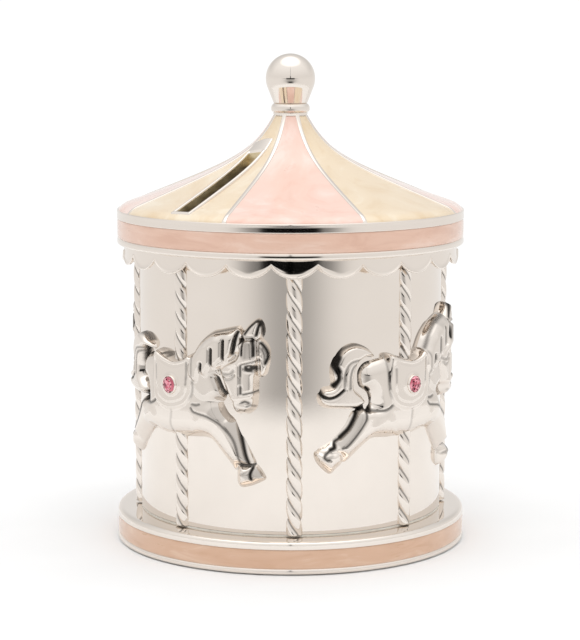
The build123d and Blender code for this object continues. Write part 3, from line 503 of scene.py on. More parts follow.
# tail, in front of the rump, with its strands and the curl at its end
RUMP_LINE = [(-13.2, 58.6), (-15.6, 57.9), (-17.3, 55.6), (-17.6, 53), (-17.4, 50.9), (-15.9, 49.4), (-14.4, 48),
             (-13.8, 46), (-14.1, 44)]
TAIL_SLIT = [(-21.8, 61.4), (-23.0, 59.2), (-23.7, 57), (-23.0, 55.2), (-22.8, 53.2), (-24.0, 51.2)]
engrave([(RUMP_LINE, 1.6, 0.5, 1), (RUMP_LINE[4:], 0.6, 0.75, 1)])
tail_depth = depth_inside(TAIL)
relief = np.maximum(relief, pillow(tail_depth, 3.1, 1.6, 2.0))
# the tail is kept almost clear of painted shade
horse_painted_shade = np.where(tail_depth > 0.35, 0.03, horse_painted_shade)
engrave([
    (TAIL_SLIT, 1.0, 0.5, 1),
    (TAIL_SLIT[1:4], 0.5, 0.8, 1),
    ([(-27.7, 49.9), (-27.3, 48.8), (-25.6, 48.0), (-23.6, 48.4), (-21.5, 50)], 0.8, 0.36, 1),
    ([(-27.7, 49.9), (-27.4, 48.9), (-26.8, 48.4)], 0.5, 0.5, 1),
    ([(-15.2, 57.9), (-18.4, 57.9), (-20.3, 56.8), (-21.4, 54), (-21.3, 50)], 0.4, 0.26, 0.6),
    ([(-15.6, 57.2), (-18.6, 56.6), (-19.7, 54), (-19.9, 50.2)], 0.4, 0.26, 0.6),
    ([(-13.3, 60.6), (-15.8, 61.8), (-18.2, 62.2), (-20.7, 61.5), (-22.5, 60.2)], 0.25, 0.26, 0.8)])

# head: cheek and muzzle over the neck, with ears and forelock
face = depth_inside(FACE)
jaw = np.exp(-(np.abs(face + 0.5) / 0.8) ** 2) * soft_step(18.9 - arc, -0.6, 0.6) * soft_step(54.5 - tall, 0, 1.5)
relief -= 1.9 * jaw
# painted shade in the hollow under the jaw, and on the neck beside it
darken(0.95 * soft_step(jaw, 0.45, 0.9))
darken(0.34 * np.exp(-(np.clip(-face, 0, 9) / 2.6) ** 2) * soft_step(neck_depth, 0.2, 1) * soft_step(56 - tall, 0, 2))
head = pillow(face, 3.9, 2.0, 1.9) - 0.016 * np.clip(np.abs(arc - 20.6) - 0.8, 0, 9) ** 2
for ear, height in ((EAR, 3.3), (FAR_EAR, 2.6)):
    relief = np.maximum(relief, pillow(depth_inside(ear), height, 1.0, 2.0))
# the face is kept almost clear of painted shade
horse_painted_shade = np.where(face > 0, 0.04, horse_painted_shade)
relief = np.where(face > 0, np.maximum(relief * soft_step(2.2 - face, 0, 2), head), np.maximum(relief, head))
FORELOCK = [(21, 58.6), (20.9, 62.5), (21.7, 65.2), (24.2, 65.3), (25.5, 63), (25.4, 59.8)]
forelock = pillow(depth_inside(FORELOCK), 0.55, 0.6)
relief += np.maximum(forelock, 0)
# painted shade on the forelock
darken(0.32 * soft_step(forelock, 0.0, 0.5) * (0.75 + 0.5 * soft_step(tall, 58, 65)))
engrave([
    ([(21.6, 65.6), (23, 67.6), (24.7, 69.2), (25.4, 68.9)], 0.6, 0.3, 1),
    ([(24.6, 65.4), (25.0, 67), (25.6, 69.0)], 0.8, 0.36, 1),
    ([(26.0, 68.7), (26.3, 67), (26.4, 64.8)], 0.6, 0.32, 1),
    ([(25.7, 63.2), (26.5, 62.4), (27.3, 61), (27.5, 59.4), (26.8, 57.6)], 0.7, 0.36, 1),
    ([(25.9, 61.8), (26.6, 60), (26.6, 58.2)], 0.6, 0.3, 0.7),
    ([(23.9, 59.2), (23.9, 61.5), (23.7, 64.4)], 1.0, 0.34, 1),
    ([(21.9, 59.4), (22, 64.5)], 0.2, 0.24, 0.45),
    ([(20.95, 60), (20.9, 62.5), (20.8, 65)], 0.7, 0.34, 1),
    ([(14.6, 55.4), (16.0, 54.6), (17.8, 54.6), (18.8, 55.6)], 0.4, 0.3, 0.45),
    ([(15.9, 53.8), (16.8, 53.0), (18, 53.2), (19.0, 54.4)], 0.4, 0.34, 0.4)])


def spot(across, up, half_across, half_up, power=2):
    """Round or squarish spot: e^-(|x / half across|^power + |z / half up|^power)."""
    return np.exp(-(((arc - across) / half_across) ** power + ((tall - up) / half_up) ** power))


# eyes: a round one on the cheek, and one on the face in painted shade, with a ball and two painted glints
relief += 0.35 * spot(17.4, 54.0, 0.9, 0.55)
eye = spot(23.2, 56.3, 1.7, 0.95, 4)
relief += 0.5 * spot(23.4, 56.2, 0.6, 0.42) - 0.9 * eye
darken(0.95 * soft_step(eye, 0.25, 0.5))
for glint in (spot(22.7, 56.7, 0.35, 0.25), spot(24.0, 55.7, 0.4, 0.2)):
    horse_painted_shade *= 1 - 0.9 * soft_step(glint, 0.3, 0.7)
engrave([
    ([(21.0, 46.9), (21.9, 47.3), (22.9, 46.9)], 0.4, 0.26, 0.85),
    ([(22.4, 46.0), (23.2, 46.3), (24.0, 45.8)], 0.35, 0.26, 0.6),
    ([(18.9, 45.4), (20.6, 44.9), (23.2, 44.9)], 0.3, 0.22, 0.35),
    ([(25.5, 49.4), (25.6, 52), (25.9, 54)], 0.3, 0.3, 0.8)])


# bridle: flat straps with square edges
def strap(points, half=0.5, proud=0.42):
    """Flat strap along a line: full height within its half width, falling to nothing over a short edge."""
    return proud * (1 - soft_step(line_distance(points), half - 0.12, half + 0.2))


nose_strap = strap([(19.9, 47.8), (19.9, 56), (19.9, 64.6)])
brow_band = strap([(14.2, 56.4), (16, 56.9), (20.2, 57.9), (25.8, 59.5)])
nose_band = strap([(16.6, 47.6), (18.4, 47.8), (21.7, 48.4), (25.2, 49.4)])
bridle = np.where(face > 0, np.maximum.reduce([nose_strap, brow_band, nose_band]), 0)
relief += bridle
engrave([
    ([(20.65, 57.0), (20.65, 54.2)], 0.4, 0.26, 0.95),
    ([(20.65, 51.2), (20.65, 49.4)], 0.4, 0.3, 0.95),
    ([(20.6, 54.2), (20.6, 51.2)], 0.2, 0.2, 0.5),
    ([(21.4, 49.2), (23.4, 49.7), (25.2, 50.1)], 0.35, 0.22, 0.85),
    ([(21.0, 57.4), (23.4, 58.1), (25.4, 58.7)], 0.3, 0.2, 0.8)])
# the straps are painted bright: painted highlight along the bridle
horse_painted_shade *= 1 - 0.85 * soft_step(bridle, 0.2, 0.4)

# saddle: a flap with a raised border, and the pommel and cantle standing above the back
saddle_depth = depth_inside(SADDLE)
relief = np.where(saddle_depth > -0.2, np.maximum(relief, pillow(saddle_depth, 3.1, 1.2)), relief)
relief += np.clip(pillow(saddle_depth, 0.55, 0.5, 2.0), 0, 0.55)
# the saddle flap is kept almost clear of painted shade
horse_painted_shade = np.where(saddle_depth > 0, 0.04 * soft_step(saddle_depth, 1.0, 2.0) * soft_step(tall, 43.6, 45), horse_painted_shade)
relief -= 0.28 * np.exp(-((saddle_depth - 1.55) / 0.35) ** 2) * soft_step(57.6 - tall, 0, 2)
# painted shade along the foot of the saddle's border
darken(0.55 * np.exp(-((saddle_depth + 0.05) / 0.3) ** 2) * soft_step(tall, 45.5, 47.5))
engrave([
    ([(5.0, 56.8), (4.9, 53.5), (4.6, 50.4)], 0.15, 0.2, 0.6),
    ([(-6.4, 55), (-6.3, 51)], 0.12, 0.2, 0.5),
    ([(-5.2, 58.1), (-4.1, 58.0), (-3.0, 57.4)], 0.2, 0.3, 0.8),
    ([(6.6, 45.2), (7.8, 45.1), (8.8, 45.4)], 0.3, 0.32, 0.7)])
relief = np.minimum(relief, RELIEF_TOP - 0.02)
# the stone's seat: a flat round pad
seat = np.hypot(arc - STONE_ARC, tall - STONE_Z)
relief += (SEAT_TOP - relief) * (1 - soft_step(seat, 2.7, 3.4))


def softened(values):
    """Each point becomes the mean of itself and its eight neighbours, weighted 4, 2 and 1."""
    inner = values[1:-1, 1:-1] * 4 + 2 * (values[2:, 1:-1] + values[:-2, 1:-1] + values[1:-1, 2:] + values[1:-1, :-2])
    inner += values[2:, 2:] + values[:-2, :-2] + values[2:, :-2] + values[:-2, 2:]
    result = values.copy()
    result[1:-1, 1:-1] = inner / 16
    return result


# polished edges have a radius, and every foot of a steep step gets painted shade
relief = softened(softened(relief))
wide = np.clip(relief, RELIEF_LOW, RELIEF_TOP)
for _ in range(12):
    wide = softened(wide)
hollow = wide - np.clip(relief, RELIEF_LOW, RELIEF_TOP)
darken(0.55 * soft_step(hollow, 0.3, 0.9) * (relief > 0.25))
darken(0.18 * np.exp(-((relief - 0.1) / 0.3) ** 2))
horse_painted_shade = softened(horse_painted_shade)
relief = np.clip(relief, RELIEF_LOW, RELIEF_TOP)


def slab(name, top, bottom, keep, material, smooth=True, painted_shade=None):
    """Closed sheet between two grids of points: a top and a bottom face for every kept cell, and a wall along
    each side that has a kept cell on one side only.  Painted shade is kept as a value of each point."""
    rows, columns = top.shape[:2]
    shift = rows * columns
    index = np.arange(shift).reshape(rows, columns)
    a, b, c, d = index[:-1, :-1][keep], index[1:, :-1][keep], index[1:, 1:][keep], index[:-1, 1:][keep]
    faces = [np.stack([a, b, c, d], -1), np.stack([d, c, b, a], -1) + shift]
    padded = np.pad(keep, 1)
    for axis in (0, 1):
        near = padded[:-1, 1:-1] if axis == 0 else padded[1:-1, :-1]
        far = padded[1:, 1:-1] if axis == 0 else padded[1:-1, 1:]
        first = index[:, :-1] if axis == 0 else index[:-1, :]
        second = index[:, 1:] if axis == 0 else index[1:, :]
        opens, closes = far & ~near, near & ~far
        for edge, forward in ((opens, axis == 0), (closes, axis == 1)):
            p, q = (first[edge], second[edge]) if forward else (second[edge], first[edge])
            faces.append(np.stack([q, p, p + shift, q + shift][::-1], -1))
    faces = np.concatenate(faces)
    points = np.concatenate([top.reshape(-1, 3), bottom.reshape(-1, 3)])
    used, faces = np.unique(faces, return_inverse=True)
    piece = new_piece(name, points[used], faces.reshape(-1, 4), material, smooth)
    if painted_shade is not None:
        keep_painted_shade(piece, np.tile(painted_shade.ravel(), 2)[used])
    return piece


def on_drum(height):
    """Relief wrapped on the drum: radius = wall + height, azimuth = arc / wall radius."""
    return on_circle(DRUM_R + height, arc / DRUM_R, tall)


corner_high = np.maximum.reduce([relief[:-1, :-1], relief[1:, :-1], relief[1:, 1:], relief[:-1, 1:]])
horse_cells = corner_high > RELIEF_LOW + 0.05
horse_front, horse_back = on_drum(relief), on_drum(0 * relief - 0.5)
for k in range(4):
    turn = FIRST_HORSE + 90 * k
    horse = slab("galloping_horse_%d" % (k + 1), carried_round(horse_front, turn), carried_round(horse_back, turn),
                 horse_cells, silver_with_painted_shade, painted_shade=horse_painted_shade)
    belongs(horse, "carousel", "horse_%d" % (k + 1))

# ---- saddle stones ----
# Each saddle holds one rose crystal, round cut and foiled behind.  It sits in a thin silver bezel that is soldered
# to the saddle and rubbed over the stone's edge.
STONE_SEAT = 47.7


def faceted_stone():
    """Corners of the stone in (across, up, out), and its triangular facets."""
    corners, facets = [], []
    rings = [(1.15, 1.2, 0.0), (1.78, 0.92, 0.5), (2.32, 0.45, 0.0), (2.32, 0.05, 0.0)]
    for distance, out, shift in rings:
        a = (np.arange(8) + shift) * np.pi / 4
        corners.append(np.stack([distance * np.cos(a), distance * np.sin(a), out + 0 * a], -1))
    corners = np.concatenate(corners + [[[0, 0, 1.2]], [[0, 0, 0.0]]])
    for k in range(8):
        n = (k + 1) % 8
        facets.append((32, k, n))
        facets += [(k, 8 + k, n), (8 + k, 16 + n, n), (8 + k, 8 + n, 16 + n), (8 + k, 16 + k, 16 + n)]
        facets += [(16 + k, 24 + k, 24 + n), (16 + k, 24 + n, 16 + n), (33, 24 + n, 24 + k)]
    return corners, facets


def on_saddle(local, turn):
    """Local (across, up, out) points set on the saddle's seat and carried round to a horse."""
    a = STONE_ARC / DRUM_R
    across, up, out = local[..., 0], local[..., 1], local[..., 2] + STONE_SEAT
    flat = np.stack([across, -out, up + STONE_Z], -1)
    return carried_round(flat, turn + np.degrees(a))


# each facet is painted a random tone from dark red to pale pink: painted reflection, standing in for the crystal's
# sparkle
rose, tree, shader = new_material("rose_crystal")
painted_sparkle = new_node(tree, "Attribute", {})
painted_sparkle.attribute_name = "painted_sparkle"
ROSE_STOPS = [(0.0, (0.20, 0.012, 0.035)), (0.45, (0.62, 0.075, 0.14)), (1.0, (0.95, 0.38, 0.46))]
set_inputs(tree, shader, {"Base Color": ramp(tree, painted_sparkle.outputs["Fac"], ROSE_STOPS), "Metallic": 0.35,
                          "Roughness": 0.06, "Coat Weight": 1.0, "Coat Roughness": 0.02, "Coat IOR": 1.65})

angle = np.linspace(0, 2 * np.pi, 48, endpoint=False)[:, None]
BEZEL = np.array([(2.25, -0.3), (2.25, 0.35), (2.32, 0.55), (2.45, 0.6), (2.62, 0.5), (2.75, 0.2), (2.8, -0.3)])
bezel_local = np.stack([BEZEL[None, :, 0] * np.cos(angle), BEZEL[None, :, 0] * np.sin(angle),
                        BEZEL[None, :, 1] + 0 * angle], -1)
stone_corners, stone_facets = faceted_stone()
stone_all, bezel_all, stone_faces, bezel_faces = [], [], [], []
for k in range(4):
    turn = FIRST_HORSE + 90 * k
    stone_faces += [tuple(c + len(stone_corners) * k for c in facet) for facet in stone_facets]
    bezel_faces.append(loop_faces(*bezel_local.shape[:2]) + bezel_local[..., 0].size * k)
    stone_all.append(on_saddle(stone_corners, turn))
    bezel_all.append(on_saddle(bezel_local, turn).reshape(-1, 3))
stones = new_piece("rose_stones", np.concatenate(stone_all), stone_faces, rose, smooth=False)
sparkle_values = np.random.default_rng(7).uniform(0, 1, len(stones.data.polygons))
attribute = stones.data.attributes.new("painted_sparkle", "FLOAT", "FACE")
attribute.data.foreach_set("value", sparkle_values)
belongs(stones, "carousel", "saddle_crystals")
bezels = new_piece("stone_bezels", np.concatenate(bezel_all), np.concatenate(bezel_faces), silver_plate)
belongs(bezels, "carousel", "crystal_bezels")

# ---- roof: fascia, flange and spigot ----
# The roof lifts off.  Its edge is one spun silver ring: rounded lips above and below the enamel channel, a flat
# underside, and a spigot that drops inside the drum.
EDGE_R, EDGE_Z, FALL, ROLL_R = 48.5, 97.1, 0.385, 47.2


def roof_z(r):
    """Height of the roof: a straight fall, plus a peak that dies away as e^(-r / 6.1), less a roll at the edge that
    grows as the square of the distance past it."""
    return EDGE_Z + FALL * (EDGE_R - r) + 19.4 * np.exp(-r / 6.1) - 0.15 * np.clip(r - ROLL_R, 0, 9) ** 2


FASCIA_OUTLINE = [
    (41.4, 79.0), (42.3, 79.0), (42.5, 79.3), (42.5, 86.1), (49.3, 86.1), (49.75, 86.18), (49.95, 86.4), (50.0, 86.8),
    (49.98, 87.3), (49.86, 87.75), (49.66, 87.98), (49.6, 88.0), (49.6, 93.3), (49.75, 93.33), (49.95, 93.4),
    (50.0, 93.55), (49.94, 94.85), (49.95, 95.15), (50.0, 95.35), (50.0, 95.55), (49.94, 95.74), (49.82, 95.85),
    (49.68, 95.84), (49.5, 95.6), (48.8, 94.9), (48.8, 87.3), (41.4, 87.3)]
fascia = turned_piece("roof_fascia", FASCIA_OUTLINE, silver_plate)
belongs(fascia, "roof", "roof_shell")

FASCIA_BAND = [
    (49.4, 87.95), (49.7, 88.0), (49.84, 88.15), (49.9, 89.0), (49.92, 90.65), (49.9, 92.3), (49.84, 93.15),
    (49.7, 93.3), (49.4, 93.35)]
FASCIA_PEACH = [(0.73, 0.455, 0.34), (0.79, 0.52, 0.40), (0.85, 0.61, 0.50)]
fascia_enamel = enamel("fascia_enamel", FASCIA_PEACH, 60, (1, 1, 5), 0.9)
fascia_band = turned_piece("fascia_band", FASCIA_BAND, fascia_enamel)
belongs(fascia_band, "roof", "fascia_enamel")

# ---- roof: sheet, ribs and enamel fields ----
# The roof's sheet is pressed like stretched canvas: it hangs a little between eight ribs.  Alternate pink and
# ivory enamel fills the fields, and the ribs stay bare silver.
SLOT_LEFT, SLOT_RIGHT, SLOT_NEAR, SLOT_FAR = -4.82, -0.18, -46.6, -13.4
FIELD_INNER, FIELD_OUTER, FIELD_HALF = 5.0, 49.72, 22.4
SHEET_INNER, SHEET_OUTER, HALF_STEP = 4.8, 48.3, 22.5
SAG, ENAMEL_UNDER, SHEET_TOP, SHEET_UNDER = 0.68, -0.35, -0.4, -1.3


def canvas(azimuth, r):
    """Height of a field: the roof's height less a sag that is 1 - (angle / half field)^2 across and a half sine
    from neck to edge."""
    across = ((azimuth - FIRST_POLE + HALF_STEP) % EIGHTH - HALF_STEP) / HALF_STEP
    along = np.sin(np.pi * np.clip((r - FIELD_INNER) / (EDGE_R - FIELD_INNER), 0, 1))
    return roof_z(r) - SAG * (1 - across ** 2) * along


def roof_patch(middle, half, inner, outer, lift, steps=(73, 121)):
    """Grid of points over part of the roof, by azimuth and radius, raised by lift."""
    azimuth = middle + np.linspace(-half, half, steps[0])[:, None]
    r = inner * (outer / inner) ** np.linspace(0, 1, steps[1])[None, ::-1]
    return on_circle(r, np.radians(azimuth), canvas(azimuth, r) + lift)


def outside_slot(points, margin):
    """Cells whose middle lies outside the coin slot, grown by a margin."""
    centre = (points[:-1, :-1] + points[1:, 1:]) / 2
    x, y = centre[..., 0], centre[..., 1]
    inside = (x > SLOT_LEFT - margin) & (x < SLOT_RIGHT + margin) & (y > SLOT_NEAR - margin) & (y < SLOT_FAR + margin)
    return ~inside


PINK = [(0.84, 0.525, 0.425), (0.88, 0.60, 0.505), (0.90, 0.685, 0.605)]
IVORY = [(0.765, 0.585, 0.37), (0.825, 0.67, 0.47), (0.885, 0.765, 0.59)]
pink_enamel = enamel("pink_enamel", PINK, 42, (1, 1, 1), 2.6)
ivory_enamel = enamel("ivory_enamel", IVORY, 42, (1, 1, 1), 2.6)

for colour, start, finish in (("pink", 0, pink_enamel), ("ivory", EIGHTH, ivory_enamel)):
    for k in range(4):
        middle = FIRST_POLE + start + 90 * k
        top = roof_patch(middle, FIELD_HALF, FIELD_INNER, FIELD_OUTER, 0.0)
        under = roof_patch(middle, FIELD_HALF, FIELD_INNER, FIELD_OUTER, ENAMEL_UNDER)
        field = slab("%s_field_%d" % (colour, k + 1), top, under, outside_slot(top, 0.45), finish)
        belongs(field, "roof", "%s_panel_%d" % (colour, k + 1))

for k in range(8):
    middle = FIRST_POLE + EIGHTH * k
    top = roof_patch(middle, HALF_STEP, SHEET_INNER, SHEET_OUTER, SHEET_TOP, (37, 61))
    under = roof_patch(middle, HALF_STEP, SHEET_INNER, SHEET_OUTER, SHEET_UNDER, (37, 61))
    sheet = slab("roof_sheet_%d" % (k + 1), top, under, outside_slot(top, 0.5), soft_silver)
    belongs(sheet, "roof")


def rib(azimuth, inner, outer, half, proud):
    """Half-round bead carried down the roof's fall: height = proud sqrt(1 - (across / half)^2)."""
    r = inner * (outer / inner) ** np.linspace(0, 1, 160)[:, None]
    across = half * np.array([-1.0, -0.94, -0.8, -0.6, -0.35, 0.0, 0.35, 0.6, 0.8, 0.94, 1.0, 0.9, 0.0, -0.9])[None, :]
    deep = np.array([0.35, 0, 0, 0, 0, 0, 0, 0, 0, 0, 0.35, 0.6, 0.7, 0.6])[None, :]
    z = roof_z(r) + proud * np.sqrt(np.clip(1 - (across / half) ** 2, 0, 1)) - deep * np.where(deep > 0, 1 + proud, 0)
    a = np.radians(azimuth)
    x = r * np.sin(a) + across * np.cos(a)
    y = -r * np.cos(a) + across * np.sin(a)
    return np.stack([x, y, z], -1)


for k in range(8):
    points = rib(FIRST_POLE - HALF_STEP + EIGHTH * k, inner=4.7, outer=49.75, half=0.62, proud=0.3)[:, ::-1]
    bar = new_piece("roof_rib_%d" % (k + 1), points, tube_faces(*points.shape[:2]), silver_plate)
    belongs(bar, "roof")

# ---- coin slot ----
# A raised silver frame borders the coin slot, which runs straight up the roof beside the rib.  Its upper end is a
# plain patch where the frame meets the peak.
BORDER, PROUD, FRAME_SUNK, FRAME_DEEP = 0.95, 0.42, 0.05, 2.2
x_lines = np.unique(np.concatenate([SLOT_LEFT - BORDER * np.linspace(0, 1, 9), np.linspace(SLOT_LEFT, SLOT_RIGHT, 14),
                                    SLOT_RIGHT + BORDER * np.linspace(0, 1, 9)]))
y_lines = np.unique(np.concatenate([SLOT_NEAR - BORDER * np.linspace(0, 1, 9), np.linspace(SLOT_NEAR, SLOT_FAR, 120),
                                    np.linspace(SLOT_FAR, -9.4, 40)]))
frame_x, frame_y = np.meshgrid(x_lines, y_lines, indexing="ij")


def slot_frame_top():
    """Frame's surface: the roof's height plus a bead, proud sqrt(1 - t^2) where t runs from -1 to 1 across the
    border, and level over the patch."""
    r = np.hypot(frame_x, frame_y)
    outside = np.maximum.reduce([SLOT_LEFT - frame_x, frame_x - SLOT_RIGHT, SLOT_NEAR - frame_y, 0 * r])
    t = np.clip(2 * outside / BORDER - 1, -1, 1)
    bead = np.sqrt(1 - t ** 2)
    patch = soft_step(frame_y, SLOT_FAR, SLOT_FAR + 0.5)
    rim = np.clip(np.minimum.reduce([frame_x - x_lines[0], x_lines[-1] - frame_x, y_lines[-1] - frame_y]) / 0.4, 0, 1)
    level = 0.6 * np.sqrt(1 - (1 - rim) ** 2)
    return roof_z(r) - FRAME_SUNK + PROUD * (bead * (1 - patch) + level * patch)


frame_top = np.stack([frame_x, frame_y, slot_frame_top()], -1)
frame_low = np.stack([frame_x, frame_y, roof_z(np.hypot(frame_x, frame_y)) - FRAME_DEEP], -1)
centre_x = (frame_x[:-1, :-1] + frame_x[1:, 1:]) / 2
centre_y = (frame_y[:-1, :-1] + frame_y[1:, 1:]) / 2
solid = ~((centre_x > SLOT_LEFT) & (centre_x < SLOT_RIGHT) & (centre_y > SLOT_NEAR) & (centre_y < SLOT_FAR))
solid &= centre_x > centre_y * np.tan(np.radians(30)) + 0.1
coin_frame = slab("coin_slot_frame", frame_top, frame_low, solid, silver_plate)
belongs(coin_frame, "roof", "slot_frame")

# The slot's walls are the cut edge of the brass sheet, left unplated.
LINING, LINING_SUNK, LINING_DEEP = 0.12, 0.15, 3.6
lining_x = np.array([SLOT_LEFT, SLOT_LEFT + LINING, SLOT_RIGHT - LINING, SLOT_RIGHT])
lining_y = np.concatenate([[SLOT_NEAR, SLOT_NEAR + LINING], np.linspace(SLOT_NEAR + 0.4, SLOT_FAR - 0.4, 60),
                           [SLOT_FAR - LINING, SLOT_FAR]])
wall_x, wall_y = np.meshgrid(lining_x, lining_y, indexing="ij")
wall_top = roof_z(np.hypot(wall_x, wall_y))
walls = np.ones((len(lining_x) - 1, len(lining_y) - 1), bool)
walls[1, 1:-1] = False
cut_brass = metal("cut_brass", (0.72, 0.60, 0.38), (0.88, 0.77, 0.54), (0.42, 0.58), 200, (1, 1, 4), 6e-6, 1500)
lining = slab("coin_slot_lining", np.stack([wall_x, wall_y, wall_top - LINING_SUNK], -1),
              np.stack([wall_x, wall_y, wall_top - LINING_DEEP], -1), walls, cut_brass, smooth=False)
belongs(lining, "roof")

# ---- valance ----
# A scalloped silver strip hangs below the fascia, soldered to its underside.  It leans out a little, and a fine
# raised bead follows its twenty-four lobes.
LOBES, TIP_Z, CUSP_Z, TOP_Z = 24, 80.8, 83.85, 86.1
VALANCE_TOP_R, VALANCE_LOW_R, VALANCE_BACK_R, LOBE_R = 48.0, 48.31, 47.1, 48.4


def lobe_edge(azimuth):
    """Height of the lower edge: arcs of one circle between cusps, lowest in the middle of each lobe."""
    step = 360 / LOBES
    half = np.radians(step / 2) * LOBE_R
    across = np.radians((azimuth - FIRST_POLE + step / 2) % step - step / 2) * LOBE_R
    rise = CUSP_Z - TIP_Z
    bow = (half ** 2 + rise ** 2) / (2 * rise)
    return TIP_Z + bow - np.sqrt(bow ** 2 - across ** 2)


azimuth = np.linspace(0, 360, LOBES * 40, endpoint=False)[:, None] + FIRST_POLE
edge = lobe_edge(azimuth)
fall = np.array([0, 0.1, 0.25, 0.45, 0.65, 0.82])[None, :]
face_z = TOP_Z + (edge + 0.62 - TOP_Z) * fall
face_r = VALANCE_TOP_R + (VALANCE_LOW_R - VALANCE_TOP_R) * (TOP_Z - face_z) / (TOP_Z - TIP_Z)
bead_z = edge + np.array([0.62, 0.54, 0.44, 0.3, 0.15, 0.04, 0.0, 0.03])[None, :]
bead_r = VALANCE_LOW_R - 0.02 + np.array([0.0, 0.1, 0.18, 0.22, 0.18, 0.08, -0.1, -0.5])[None, :] + 0 * edge
back_z = np.concatenate([edge + 0.5, TOP_Z + 0 * edge], 1)
back_r = VALANCE_BACK_R + 0 * back_z
valance_r = np.concatenate([face_r, bead_r, back_r], 1)[:, ::-1]
valance_z = np.concatenate([face_z, bead_z, back_z], 1)[:, ::-1]
valance_points = on_circle(valance_r, np.radians(azimuth), valance_z)
valance = new_piece("scalloped_valance", valance_points, loop_faces(*valance_points.shape[:2]), silver_plate)
belongs(valance, "roof", "valance")

# ---- finial ----
# A polished ball stands on a collar at the peak.  It is turned in one piece with the cone under it, and a stud
# holds it to the roof.
BALL_R, BALL_Z, CONE_LEAN = 7.09, 133.0, 0.385
ball_angle = np.linspace(-np.arctan(CONE_LEAN), np.radians(89.7), 90)
BALL_OUTLINE = [(1.9, 126.0), (4.6, 126.0), (4.9, 126.1)]
BALL_OUTLINE += [(BALL_R * np.cos(t), BALL_Z + BALL_R * np.sin(t)) for t in ball_angle]
BALL_OUTLINE += [(0.002, BALL_Z + BALL_R), (0.002, BALL_Z), (1.9, BALL_Z)]
ball = turned_piece("finial_knob", BALL_OUTLINE, silver_plate, 180)
belongs(ball, "roof", "finial_ball")

COLLAR_OUTLINE = [
    (1.85, 123.4), (4.9, 123.4), (5.3, 123.55), (5.52, 123.95), (5.56, 124.5), (5.5, 125.05), (5.25, 125.5),
    (4.95, 125.75), (4.7, 126.0), (1.85, 126.0)]
collar = turned_piece("finial_ring", COLLAR_OUTLINE, silver_plate, 180)
belongs(collar, "roof", "finial_collar")

NECK_OUTLINE = [(1.85, 119.5), (4.3, 119.5), (4.72, 121.0), (4.8, 122.4), (4.95, 123.1), (4.9, 123.4), (1.85, 123.4)]
neck_ring = turned_piece("finial_neck", NECK_OUTLINE, silver_plate, 180)
belongs(neck_ring, "roof")

# ---- studio ----
# The object stands on a pale plain floor inside a warm white light tent, with one broad soft light above.  The
# tent's open mouth and the stand in it are what the polished silver reflects as dark bands.
floor_material, tree, shader = new_material("pale_floor")
FLOOR_STOPS = [(0.3, (0.905, 0.91, 0.915)), (0.7, (0.925, 0.93, 0.935))]
reach = tree.nodes.new("ShaderNodeVectorMath")
reach.operation = "LENGTH"
tree.links.new(new_node(tree, "TexCoord", {}).outputs["Object"], reach.inputs[0])
fade = new_node(tree, "MapRange", {"Value": reach.outputs["Value"], "From Min": 0.235, "From Max": 0.325,
                                   "To Min": 1.0, "To Max": 0.0})
fade.interpolation_type = "SMOOTHSTEP"
set_inputs(tree, shader, {"Base Color": ramp(tree, cloud(tree, 20, 2), FLOOR_STOPS), "Alpha": fade.outputs["Result"],
                          "Roughness": 0.9, "Specular IOR Level": 0.1})
ring_r = np.array([0.001, 60.001, 120.001, 180.001, 240.001, 330.001])[:, None]
ring_a = np.linspace(0, 2 * np.pi, 96, endpoint=False)[None, :]
floor_points = np.stack([ring_r * np.cos(ring_a), ring_r * np.sin(ring_a), 0 * ring_r * ring_a - 0.02], -1)
floor_faces = tube_faces(*floor_points.shape[:2])[:-2]
floor = new_piece("studio_floor", floor_points, floor_faces, floor_material)

TO_CAMERA = 36.142
world = bpy.data.worlds.new("light_tent")
bpy.context.scene.world = world
world.use_nodes = True
sky = world.node_tree
sky.nodes.clear()


def maths(kind, one, other=0.0):
    """One arithmetic step between two values."""
    node = sky.nodes.new("ShaderNodeMath")
    node.operation = kind
    for socket, value in zip(node.inputs, (one, other)):
        if isinstance(value, (int, float)):
            socket.default_value = value
        else:
            sky.links.new(value, socket)
    return node.outputs[0]


def bell(value, middle, width, power):
    """exp(-|(value - middle) / width|^power)."""
    distance = maths("ABSOLUTE", maths("DIVIDE", maths("SUBTRACT", value, middle), width))
    return maths("EXPONENT", maths("MULTIPLY", maths("POWER", distance, power), -1.0))


direction = new_node(sky, "TexCoord", {}).outputs["Generated"]
facing = new_node(sky, "Mapping", {"Vector": direction, "Rotation": (0, 0, np.radians(-TO_CAMERA))})
parts = new_node(sky, "SeparateXYZ", {"Vector": facing.outputs["Vector"]})
side, ahead, height = parts.outputs["X"], parts.outputs["Y"], parts.outputs["Z"]
in_front = maths("LESS_THAN", ahead, 0.0)
# open mouth of the tent: each dark patch is a bell in height (middle, width, power) by a bell to the side (width,
# power), and takes away a share of the light
DARK_PATCHES = [
    (-0.18, 0.14, 6.0, 0.46, 2.6, 0.50),    # grey haze below the horizon
    (-0.01, 0.055, 6.0, 0.34, 14.0, 0.97),  # black middle
    (-0.004, 0.016, 4.0, 0.56, 6.0, 0.85),  # thin line that runs further
    (0.42, 0.36, 4.0, 0.014, 2.0, 0.60),    # seam of the tent
    (0.09, 0.12, 6.0, 0.035, 3.0, 0.90),    # stand
    (-0.30, 0.075, 4.0, 0.24, 3.0, 0.92)]   # foot of the stand
light = 1.0
for middle, width, power, side_width, side_power, share in DARK_PATCHES:
    patch = maths("MULTIPLY", bell(height, middle, width, power), bell(side, 0.0, side_width, side_power))
    light = maths("MULTIPLY", light, maths("SUBTRACT", 1.0, maths("MULTIPLY", patch, share)))
light = maths("ADD", maths("MULTIPLY", light, in_front), maths("SUBTRACT", 1.0, in_front))

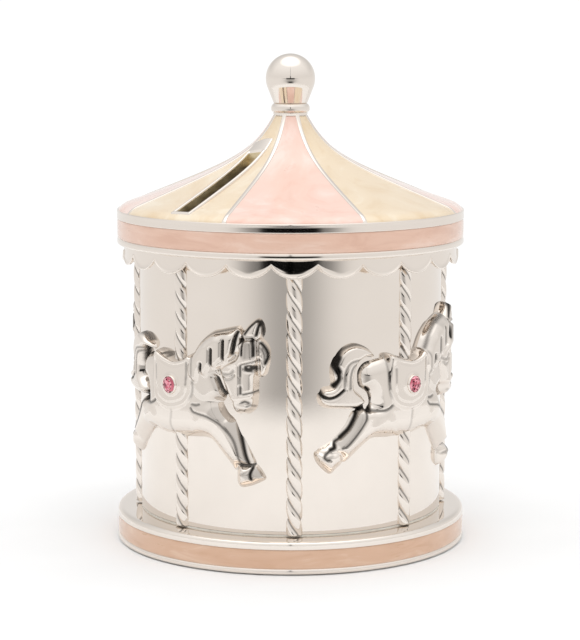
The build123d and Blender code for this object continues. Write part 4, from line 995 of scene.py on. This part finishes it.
tent = sky.nodes.new("ShaderNodeValToRGB")
TENT_STOPS = [
    (0.0, (0.88, 0.87, 0.86)), (0.46, (0.87, 0.86, 0.85)), (0.56, (0.82, 0.81, 0.80)), (0.75, (0.92, 0.915, 0.91)),
    (0.9, (1.0, 1.0, 1.0)), (0.96, (1.5, 1.5, 1.5)), (1.0, (1.7, 1.7, 1.7))]
while len(tent.color_ramp.elements) < len(TENT_STOPS):
    tent.color_ramp.elements.new(0.5)
for element, (position, colour) in zip(tent.color_ramp.elements, TENT_STOPS):
    element.position = position
    element.color = (*colour, 1)
sky.links.new(maths("MULTIPLY", maths("ADD", height, 1.0), 0.5), tent.inputs["Fac"])

far_side = maths("MULTIPLY", maths("MAXIMUM", ahead, 0.0), bell(height, 0.55, 0.3, 4.0))
light = maths("MULTIPLY", light, maths("SUBTRACT", 1.0, maths("MULTIPLY", far_side, 0.3)))
tent_light = new_node(sky, "Background", {"Color": tent.outputs["Color"], "Strength": maths("MULTIPLY", light, 1.06)})
backdrop = new_node(sky, "Background", {"Color": (1, 1, 1, 1), "Strength": 1.05})
chooser = new_node(sky, "MixShader", {"Fac": new_node(sky, "LightPath", {}).outputs["Is Camera Ray"]})
sky.links.new(tent_light.outputs["Background"], chooser.inputs[1])
sky.links.new(backdrop.outputs["Background"], chooser.inputs[2])
new_node(sky, "OutputWorld", {"Surface": chooser.outputs["Shader"]})

soft_box = bpy.data.lights.new("soft_box", "AREA")
soft_box.shape = "RECTANGLE"
soft_box.size, soft_box.size_y = 0.24, 0.24
soft_box.energy = 0.33
soft_box.color = (1.0, 0.98, 0.95)
box_light = bpy.data.objects.new("soft_box", soft_box)
box_light.location = (0.12, -0.16, 0.62)
box_light.visible_glossy = False
box_light.rotation_euler = (np.radians(17), 0, np.radians(TO_CAMERA))
bpy.context.scene.collection.objects.link(box_light)

camera_data = bpy.data.cameras.new("camera")
camera_data.lens = 120.1
camera_data.sensor_width = 36.0
camera_data.clip_start = 0.05
camera = bpy.data.objects.new("camera", camera_data)
camera.location = (0.3626, -0.4967, 0.1510)
CAMERA_DIP = 8.137
camera.rotation_euler = (np.radians(90 - CAMERA_DIP), 0, np.radians(TO_CAMERA))
bpy.context.scene.collection.objects.link(camera)
bpy.context.scene.camera = camera
bpy.context.scene.view_settings.view_transform = "Standard"
